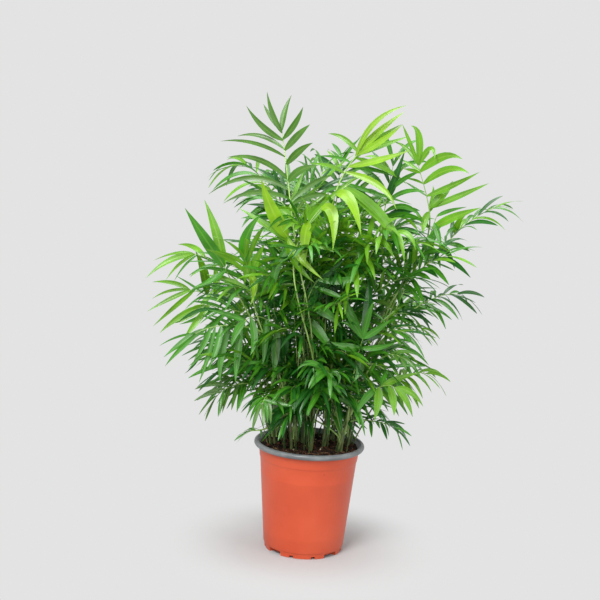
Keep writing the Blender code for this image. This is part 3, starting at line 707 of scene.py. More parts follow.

# Fronds that show: name, cane, neck and tip of the blade, roll of the blade in degrees,
# arch, pairs of leaflets, longest leaflet, width over length, droop, spread, tone. A neck or tip
# is where it shows in the picture, across and down, and how far back it lies, in mm
# In the tone column, bright paints light on a lit frond and dark paints shade on a shaded one; young
# and old are the leaves' own colours.
SHOWN_FRONDS = (
    ("top_left", 3, (289, 190, 12), (281, 126, 45), -6, 0.15, 5, 58, 0.23, 0.12, 0.72, "middle"),
    ("top_left_back", 1, (283, 213, 50), (240, 164, 100), -5, 0.35, 8, 72, 0.11, 0.60, 1.00, "middle"),
    ("top_middle", 3, (312, 225, 30), (324, 168, 70), 8, 0.25, 8, 70, 0.11, 0.40, 1.00, "middle"),
    ("top_bright", 6, (340, 182, 0), (390, 122, 14), 38, 0.15, 8, 60, 0.13, 0.20, 0.58, "young"),
    ("top_right", 7, (430, 226, 12), (418, 164, -2), 40, 0.10, 6, 60, 0.17, 0.45, 1.10, "bright"),
    ("right_broad", 7, (424, 252, -8), (438, 214, -20), 25, 0.20, 4, 68, 0.16, 0.20, 0.95, "middle"),
    ("upper_right", 7, (384, 240, 15), (396, 165, 35), 10, 0.20, 7, 62, 0.14, 0.40, 1.00, "middle"),
    ("right_hanging", 6, (366, 262, -36), (396, 232, -75), 15, 0.45, 6, 70, 0.14, 0.70, 1.00, "middle"),
    ("right_arch", 7, (424, 262, 10), (492, 208, 5), 20, 0.25, 9, 56, 0.13, 0.50, 0.95, "middle"),
    ("right_mid", 9, (400, 290, -15), (446, 256, -40), 45, 0.25, 7, 60, 0.14, 0.35, 1.00, "middle"),
    ("right_inner", 7, (384, 330, -5), (424, 250, -25), 40, 0.20, 8, 58, 0.13, 0.40, 0.95, "middle"),
    ("right_dark", 9, (396, 318, 25), (456, 294, 45), 30, 0.30, 8, 48, 0.14, 0.60, 1.00, "dark"),
    ("right_light", 9, (392, 332, 10), (425, 328, 25), 45, 0.30, 5, 44, 0.14, 0.45, 1.00, "bright"),
    ("right_small", 8, (372, 362, -45), (398, 356, -75), 30, 0.40, 5, 34, 0.17, 0.30, 1.00, "old"),
    ("right_low", 9, (392, 384, 5), (426, 374, 5), 38, 0.40, 5, 46, 0.13, 0.60, 0.90, "bright"),
    ("right_front", 8, (362, 398, -45), (396, 388, -85), 25, 0.45, 6, 60, 0.17, 0.75, 1.00, "bright"),
    ("right_lowest", 8, (366, 420, -15), (396, 430, -35), 10, 0.35, 6, 34, 0.16, 0.40, 1.00, "dark"),
    ("left_broad", 2, (240, 298, -44), (214, 250, -62), -75, 0.10, 3, 82, 0.16, 0.05, 0.60, "middle"),
    ("left_upper", 1, (230, 274, 10), (190, 254, 0), -25, 0.30, 6, 68, 0.13, 0.55, 0.95, "bright"),
    ("left_mid", 1, (224, 303, 20), (183, 291, 30), -35, 0.30, 6, 62, 0.12, 0.35, 0.90, "bright"),
    ("left_lower", 0, (240, 320, -20), (196, 306, -45), -35, 0.35, 7, 64, 0.14, 0.40, 0.90, "bright"),
    ("left_fan", 0, (258, 334, -40), (190, 334, -70), -30, 0.40, 8, 50, 0.15, 0.75, 0.90, "middle"),
    ("left_hang", 2, (270, 330, -50), (240, 322, -90), -15, 0.50, 6, 56, 0.15, 0.70, 0.90, "middle"),
    ("left_bottom", 0, (256, 384, -20), (222, 396, -35), -25, 0.40, 6, 44, 0.15, 0.50, 0.95, "old"),
    ("left_low_front", 2, (272, 395, -46), (262, 404, -80), 0, 0.50, 5, 40, 0.17, 0.90, 0.95, "old"),
    ("left_seedling", 0, (260, 430, -24), (247, 433, -30), 0, 0.40, 3, 24, 0.16, 0.30, 1.00, "middle"),
    ("front_bright", 4, (298, 242, -62), (352, 182, -56), 20, 0.20, 6, 64, 0.17, 0.55, 0.95, "young"),
    ("centre_left", 2, (268, 300, -50), (252, 258, -75), 20, 0.20, 5, 66, 0.15, 0.30, 0.90, "bright"),
    ("young_left", 4, (298, 264, -56), (287, 236, -60), -80, 0.10, 3, 78, 0.17, 0.05, 0.62, "young"),
    ("centre_right", 6, (352, 298, -35), (385, 235, -60), 30, 0.25, 6, 72, 0.14, 0.55, 1.00, "bright"),
    ("centre_dark", 4, (308, 328, -50), (322, 280, -70), 10, 0.30, 6, 72, 0.17, 0.40, 1.00, "dark"),
    ("centre_fan", 8, (354, 372, -50), (363, 338, -70), 10, 0.20, 5, 54, 0.17, 0.30, 1.10, "dark"),
    ("centre_low", 4, (330, 398, -40), (328, 374, -85), 0, 0.50, 6, 50, 0.16, 0.60, 1.10, "middle"),
)

# Crown that the other fronds fill: half width at a height, in mm
CROWN = ((160, 85), (220, 140), (300, 178), (400, 196), (480, 168), (540, 118), (590, 60))

# Other fronds, set out by rule: name, how many, first and last direction in degrees with 0 at
# +X and 90 at the back, lowest and highest tip in mm, share of the crown's half width, tone
# The low fronds here take the dark tone, painted shade.
FILLS = (
    ("back_low", 3, 14, 166, 200, 270, 0.76, "dark"),
    ("back_middle", 6, 22, 160, 310, 410, 0.78, "middle"),
    ("back_high", 3, 45, 130, 440, 530, 0.62, "middle"),
    ("front_low", 2, -130, -60, 190, 240, 0.55, "dark"),
)
FILL_SEED = 11
FILL_SWAY = 25

# How the rule draws such a frond. Two values are a least and a most; lengths are in mm. STRAY is
# in degrees and AIM in radians, and a frond with its tip above HIGH_TIP has a pair more
FILL_BLADE = (72, 96)
FILL_LEAFLET = (50, 64)
FILL_SLIMNESS = (0.14, 0.18)
FILL_DROOP = (0.2, 0.5)
FILL_ARCH = (0.25, 0.45)
FILL_SPREAD = 0.95
FILL_REACH = (0.92, 1.08)
FILL_STRAY = 7
FILL_AIM = 0.12
FILL_PAIRS = 6
HIGH_TIP = 300
NEAREST_NECK = 18.0

# Where in a group's span of heights each next tip lies, the crown's lowest level and its rise,
# and how much a cane that bears a frond counts as further off for the next one
HEIGHT_STEP = 0.618
CROWN_FOOT = 190
CROWN_RISE = 350
CANE_CROWDING = 16

# Smaller fronds deep in the crown, set out by the same rule
# Those deep in the crown and low down take the dark tone, painted shade, and those high at the front
# take the bright tone, painted light.
INNER_FILLS = (
    ("deep_front", 20, -172, -8, 225, 400, 0.32, "dark"),
    ("deep_back", 12, 12, 168, 210, 420, 0.45, "dark"),
    ("outer_front", 8, -172, -8, 250, 420, 0.46, "middle"),
    ("inner_left", 7, 160, 215, 240, 380, 0.66, "middle"),
    ("inner_right", 9, -35, 20, 250, 430, 0.64, "middle"),
    ("upper_front", 7, -160, -20, 390, 440, 0.30, "bright"),
    ("upper_back", 5, 20, 160, 420, 470, 0.42, "middle"),
    ("left_skirt", 5, 165, 222, 215, 275, 0.74, "middle"),
    ("right_skirt", 4, -40, 15, 205, 265, 0.66, "middle"),
    ("skirt_front", 7, -175, -5, 205, 260, 0.50, "dark"),
    ("skirt_back", 8, 10, 170, 190, 250, 0.60, "dark"),
    ("low_back", 8, 15, 165, 165, 200, 0.46, "dark"),
    ("low_front", 2, -150, -100, 172, 190, 0.34, "dark"),
)
INNER_SEED = 23
INNER_SWAY = 60
INNER_SLIMMER = 0.62
INNER_SEATS = 8


def hermite(start, start_pull, end, end_pull, share):
    """Point on a cubic between two points with a pull at each end."""
    square, cube = share ** 2, share ** 3
    return (start * (2 * cube - 3 * square + 1) + start_pull * (cube - 2 * square + share)
            + end * (3 * square - 2 * cube) + end_pull * (cube - square))


def flat_direction(vector):
    """The level part of a vector, as a unit vector."""
    flat = Vector((vector.x, vector.y, 0.0))
    return flat.normalized() if flat.length > 1e-6 else Vector((1, 0, 0))


class Frond:
    """The course of one frond: its stalk from the cane to the neck, and its rib to the tip."""

    def __init__(self, row, cane, order, turn=0.0, shift=Vector()):
        (self.name, _, neck, tip, roll, self.arch, self.pairs, leaflet, self.slimness,
         self.droop, self.spread, self.tone) = row
        self.neck = Vector(neck) * MM + shift
        self.tip = Vector(tip) * MM + shift * 0.5
        self.roll = radians(roll)
        self.leaflet = leaflet * MM
        height = cane[2] * MM
        share = max(LOWEST_SEAT, 1.0 - (TOP_SEAT + order * ATTACH_STEP) / height)
        axis = cane_axis(cane, share)
        out = flat_direction(self.neck - axis)
        self.out = Vector((out.x * cos(turn) - out.y * sin(turn),
                           out.x * sin(turn) + out.y * cos(turn), 0.0))
        offset = cane_radius(cane, share) + CLEARANCE + STALK_BASE_RADIUS / 2
        self.base = axis + self.out * offset
        self.rise = (cane_axis(cane, share + 0.01) - axis).normalized()
        first, second = self.neck - self.base, self.tip - self.neck
        self.stalk_length = first.length
        self.blade_length = second.length
        self.neck_way = (first.normalized() * 0.6 + second.normalized()).normalized()
        self.tip_way = (second.normalized() - UP * self.arch * 1.6).normalized()
        self.side = UP.cross(flat_direction(self.tip - self.neck))

    def point(self, way):
        """Point on the course: way runs from 0 to 1 along the stalk and on to 2 along the rib."""
        if way <= 1.0:
            reach = self.stalk_length
            return hermite(self.base, self.rise * reach * 0.9, self.neck,
                           self.neck_way * reach * 0.9, way)
        reach = self.blade_length
        return hermite(self.neck, self.neck_way * reach, self.tip, self.tip_way * reach, way - 1.0)

    def frame(self, way):
        """Along, side and upper direction at a place on the course."""
        step = 0.004
        along = (self.point(min(way + step, 2.0)) - self.point(max(way - step, 0.0))).normalized()
        side = (self.side - along * self.side.dot(along)).normalized()
        upper = along.cross(side)
        roll = self.roll * min(1.0, way)
        turned_side = side * cos(roll) + upper * sin(roll)
        return along, turned_side, along.cross(turned_side)

    def radius(self, way):
        """Radius of the stalk or rib."""
        if way <= 1.0:
            return STALK_BASE_RADIUS + (NECK_RADIUS - STALK_BASE_RADIUS) * way
        return NECK_RADIUS + (RIB_TIP_RADIUS - NECK_RADIUS) * (way - 1.0)

    def ring(self, way, swell=0.0):
        """Three points round the course."""
        centre = self.point(way)
        _, side, upper = self.frame(way)
        radius = self.radius(way) + swell
        return [centre + (side * cos(angle) + upper * sin(angle)) * radius
                for angle in (radians(-90), radians(30), radians(150))]

    def ways(self):
        """Places of the rings that the test of clear space uses."""
        seat = LEAFLET_SEAT / self.blade_length
        stalk = [row / STALK_RINGS for row in range(STALK_RINGS)]
        rib = []
        for pair in range(self.pairs):
            place = 1.0 + pair / (self.pairs - 1) * (1.0 - seat)
            rib += [place, place + seat]
        return stalk + rib


class Thicket:
    """What already stands in the crown, so that the next course keeps clear of it."""

    def __init__(self):
        self.pieces = []

    def shape(self, rings):
        """Centre, reach and search tree of a tube through rings of points."""
        sides = len(rings[0])
        verts = [point for ring in rings for point in ring]
        polygons = []
        for row in range(len(rings) - 1):
            for side in range(sides):
                after = (side + 1) % sides
                low = row * sides
                polygons.append((low + side, low + after, low + sides + after, low + sides + side))
        centre = sum(verts, Vector()) / len(verts)
        radius = max((vert - centre).length for vert in verts)
        return centre, radius, BVHTree.FromPolygons(verts, polygons)

    def add(self, rings):
        """Take up the space of a tube."""
        self.pieces.append(self.shape(rings))

    def is_clear(self, rings):
        """True where a tube touches nothing."""
        centre, radius, tree = self.shape(rings)
        for other_centre, other_radius, other_tree in self.pieces:
            if (centre - other_centre).length > radius + other_radius:
                continue
            if tree.overlap(other_tree):
                return False
        return True


def crown_half_width(height):
    """Half width of the crown at a height, both in mm."""
    for (low, narrow), (high, wide) in zip(CROWN, CROWN[1:]):
        if height <= high:
            return narrow + (wide - narrow) * (max(height, low) - low) / (high - low)
    return CROWN[-1][1]


def seen_at(across, down, back):
    """Place in mm of what shows at this spot of the picture and lies this far back."""
    sight = (AHEAD + RIGHTWARD * (across - PICTURE_MIDDLE) / EYE_REACH
             + UPWARD * (PICTURE_MIDDLE - down) / EYE_REACH)
    place = Vector(EYE) + sight * (back - EYE[1]) / sight.y
    return tuple(round(value) for value in place)


def shows_at(place):
    """Where a place shows in the picture, across and down."""
    off = place / MM - Vector(EYE)
    reach = EYE_REACH / off.dot(AHEAD)
    return PICTURE_MIDDLE + off.dot(RIGHTWARD) * reach, PICTURE_MIDDLE - off.dot(UPWARD) * reach


def shown_rows():
    """Rows of the fronds that show, with their necks and tips in mm."""
    return [(name, cane, seen_at(*neck), seen_at(*tip), *rest)
            for name, cane, neck, tip, *rest in SHOWN_FRONDS]


def filling_rows(groups, seed, sway):
    """Rows like those of the shown fronds for the rest of the crown."""
    rng = random.Random(seed)
    rows = []
    for group, count, first, last, low, high, reach, tone in groups:
        for number in range(count):
            share = (number + 0.5) / count
            stray = rng.uniform(-FILL_STRAY, FILL_STRAY)
            direction = radians(first + (last - first) * share + stray)
            tip_height = low + (high - low) * ((number * HEIGHT_STEP) % 1.0)
            tip_radius = crown_half_width(tip_height) * reach * rng.uniform(*FILL_REACH)
            climb = (tip_height - CROWN_FOOT) / CROWN_RISE
            blade = rng.uniform(*FILL_BLADE)
            neck_radius = max(NEAREST_NECK, tip_radius - blade * (0.95 - 0.5 * climb))
            neck_height = tip_height - blade * (0.1 + 0.75 * climb)
            neck = (neck_radius * cos(direction), neck_radius * sin(direction), neck_height)
            aim = direction + rng.uniform(-FILL_AIM, FILL_AIM)
            tip = (tip_radius * cos(aim), tip_radius * sin(aim), tip_height)
            middle = Vector(neck) * 0.45
            cane = min(range(len(CANES)), key=lambda index: (
                (Vector(CANES[index][:2]) - middle.to_2d()).length
                + CANE_CROWDING * sum(1 for row in rows if row[1] == index)
                + max(0.0, CANES[index][2] - neck_height + CROWN_FOOT) * 0.3))
            rows.append((
                f"{group}_{number + 1}", cane, neck, tip, rng.uniform(-sway, sway),
                rng.uniform(*FILL_ARCH), FILL_PAIRS + (tip_height > HIGH_TIP),
                rng.uniform(*FILL_LEAFLET), rng.uniform(*FILL_SLIMNESS),
                rng.uniform(*FILL_DROOP), FILL_SPREAD, tone))
    return rows


# How far a course may move aside, in mm, and turn about its cane, in degrees, to find room
SHIFTS = (6, 12, 18)
TURNS = (0, 18, -18, 36, -36, 54, -54)


def place_frond(row, order, thicket):
    """Find a course for a frond that keeps clear of the canes and of the other courses."""
    cane = CANES[row[1]]
    shifts = [Vector()]
    for reach in SHIFTS:
        shifts += [Vector((cos(turn * pi / 3), sin(turn * pi / 3), 0)) * reach * MM
                   for turn in range(6)]
    for shift in shifts:
        for turn in TURNS:
            frond = Frond(row, cane, order, radians(turn), shift)
            ways = frond.ways()
            spans = list(zip(ways, ways[1:]))
            if all(thicket.is_clear([frond.ring(low, RIB_MARGIN), frond.ring(high, RIB_MARGIN)])
                   for low, high in spans):
                for low, high in spans:
                    thicket.add([frond.ring(low), frond.ring(high)])
                return frond
    return None


CANE_SIDES = 8
CANE_RINGS = 4
thicket = Thicket()
for cane in CANES:
    turns = [side * 2 * pi / CANE_SIDES for side in range(CANE_SIDES)]
    cane_rings = []
    for row in range(CANE_RINGS + 1):
        centre = cane_axis(cane, row / CANE_RINGS)
        radius = cane_radius(cane, row / CANE_RINGS)
        cane_rings.append([centre + Vector((cos(turn), sin(turn), 0)) * radius for turn in turns])
    thicket.add(cane_rings)
fronds = []
orders = [0] * len(CANES)
for row in (*shown_rows(), *filling_rows(FILLS, FILL_SEED, FILL_SWAY)):
    frond = place_frond(row, orders[row[1]], thicket)
    if frond:
        orders[row[1]] += 1
        fronds.append(frond)
for row in filling_rows(INNER_FILLS, INNER_SEED, INNER_SWAY):
    frond = Frond(row, CANES[row[1]], orders[row[1]] % INNER_SEATS)
    frond.slimness *= INNER_SLIMMER
    frond.pairs += 1
    orders[row[1]] += 1
    fronds.append(frond)
frond_nodes = [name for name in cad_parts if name.startswith("frond_")]
tone_of = {"frond_" + frond.name: frond.tone for frond in fronds}


# Stalks and ribs
# The green leaf stalks and the ribs of the blades, smooth and slightly glossy. Each is a
# tapering tube along its frond's course.
STALK_POINTS = 14
RIB_POINTS = 14
STALK_GIRTH = 0.85
RIB_THINNING = 0.35
STALK_GREEN = (0.16, 0.30, 0.05, 1)
STALK_PALE = (0.34, 0.50, 0.14, 1)

stalk_ways = [row / STALK_POINTS for row in range(STALK_POINTS)]
stalk_ways += [1 + row / RIB_POINTS for row in range(RIB_POINTS + 1)]
stalk_runs = [[(frond.point(way),
                frond.radius(way) * (STALK_GIRTH - RIB_THINNING * max(0.0, way - 1)))
               for way in stalk_ways] for frond in fronds]
stalk_skin, *_ = mottled_material(
    "stalk_skin", 0.42, Dark=STALK_GREEN, Pale=STALK_PALE, Scale=26.0, Detail=3.0,
    Low=0.35, High=0.7)
new_piece("frond_stalks", tubes("frond_stalks", 1.0, 1, stalk_runs), stalk_skin,
          smooth=80)


# Shoots
# Thin young shoots and leaf stalks that fan out from the soil into the crown, paler than the canes.
# Each is a tapering tube that leans outward with a slight sideways bow.
SHOOTS = 56
SHOOT_STEPS = 7
SHOOT_RADIUS = 0.75 * MM
SHOOT_FOOT = 4 * MM
SHOOT_BOW = 5 * MM
SHOOT_SEED = 31

# Least and most distance from a cane's foot in mm, lean, height in mm and girth of a shoot
SHOOT_NEAR = (4, 9)
SHOOT_SPREAD = (0.4, 1.5)
SHOOT_HEIGHT = (90, 230)
SHOOT_GIRTH = (0.6, 1.5)
SHOOT_SWAY = 0.5
SHOOT_GREEN = (0.030, 0.060, 0.012, 1)
SHOOT_STRAW = (0.22, 0.27, 0.08, 1)

rng = random.Random(SHOOT_SEED)
shoot_runs = []
for number in range(SHOOTS):
    cane = CANES[number % len(CANES)]
    angle = rng.uniform(0, 2 * pi)
    near = rng.uniform(*SHOOT_NEAR)
    foot = Vector(((cane[0] + near * cos(angle)) * MM, (cane[1] + near * sin(angle)) * MM,
                   SOIL_LEVEL - SHOOT_FOOT))
    angle = atan2(foot.y, foot.x) + rng.uniform(-SHOOT_SWAY, SHOOT_SWAY)
    spread = foot.xy.length * rng.uniform(*SHOOT_SPREAD)
    height = rng.uniform(*SHOOT_HEIGHT) * MM
    girth = rng.uniform(*SHOOT_GIRTH)
    run = []
    for step in range(SHOOT_STEPS + 1):
        share = step / SHOOT_STEPS
        out = spread * share ** 1.15
        bow = SHOOT_BOW * sin(pi * share) * cos(number * 1.7)
        run.append(((foot.x + out * cos(angle) - bow * sin(angle),
                     foot.y + out * sin(angle) + bow * cos(angle), foot.z + height * share),
                    girth * (1.0 - 0.5 * share)))
    shoot_runs.append(run)
shoot_skin, *_ = mottled_material(
    "shoot_skin", 0.45, Dark=SHOOT_GREEN, Pale=SHOOT_STRAW, Scale=35.0, Detail=3.0,
    Low=0.45, High=0.66)
new_piece("shoots", tubes("shoots", SHOOT_RADIUS, 1, shoot_runs), shoot_skin, smooth=80)


# Leaflets
# Long narrow leaflets in pairs along each rib: thin, folded a little along the middle, curved
# and drooping at the tip. All leaflets of one tone are one piece, bent from one flat blade.
FINER = 1.25
SLIMMER = 0.86
BASE_ANGLE = radians(70.0)
TIP_ANGLE = radians(20.0)
BLADE_ROWS = 9
BLADE_COLUMNS = 4

# How leaflets stand and stray, where two values are a least and a most, and the share of light
# that a blade lets through
ANGLE_STRAY = 0.16
RISE = radians(18.0)
RISE_STRAY = 0.22
LENGTH_STRAY = (0.86, 1.08)
DROOP_STRAY = (0.5, 1.9)
CURL = (0.0, 0.25)
TWIST = 0.4
TIP_TWIST = 1.0
FOLD = (0.15, 0.40)
SHOWN_FOLD = 0.22
LEAST_PAIRS = 3
STAGGER = 0.25
LAST_SEAT = 0.985
LEAFLET_SEED = 77
LIGHT_THROUGH = 0.30

# Tones of leaf: colour of the blade and of its rib. Young and old are the leaves' own colours and
# middle is the plain green; bright is a lighter green that paints light on lit leaves, and dark a
# deeper green that paints shade on leaves deep in the crown and low down.
TONES = {
    "young": ((0.20, 0.40, 0.010, 1), (0.32, 0.50, 0.05, 1)),
    "bright": ((0.110, 0.300, 0.010, 1), (0.23, 0.40, 0.04, 1)),
    "middle": ((0.042, 0.20, 0.009, 1), (0.13, 0.34, 0.035, 1)),
    "dark": ((0.012, 0.100, 0.008, 1), (0.05, 0.19, 0.025, 1)),
    "old": ((0.062, 0.170, 0.018, 1), (0.15, 0.27, 0.045, 1)),
}

# Tones that the leaflets of a frond take by chance
NEIGHBOURS = {
    "young": ("young", "young", "young", "bright"),
    "bright": ("bright", "bright", "bright", "middle"),
    "middle": ("middle", "middle", "middle", "bright", "dark"),
    "dark": ("dark", "dark", "middle"),
    "old": ("old", "old", "old", "middle"),
}

# Enlarged views of the picture that single leaflets were read off: left and top edge of the view in the
# picture, how many times it is enlarged, and the share of a read width that is leaf
VIEWS = {
    "upper_left": (170, 120, 6.817, 0.90),
    "upper_right": (320, 100, 8.711, 0.90),
    "middle": (250, 250, 9.2235, 1.02),
    "left": (140, 240, 11.2, 1.02),
    "plume": (320, 90, 13.067, 1.04),
    "crown": (140, 80, 2.4615, 1.0),
}

# One step of the picture is this many mm at the plant
PICTURE_STEP = 1 / 0.81
LEAST_WIDTH = 2

# Places along a rib, from before its neck to its tip, where a leaflet may sit
SEAT_WAYS = [0.70 + 0.02 * step for step in range(65)]
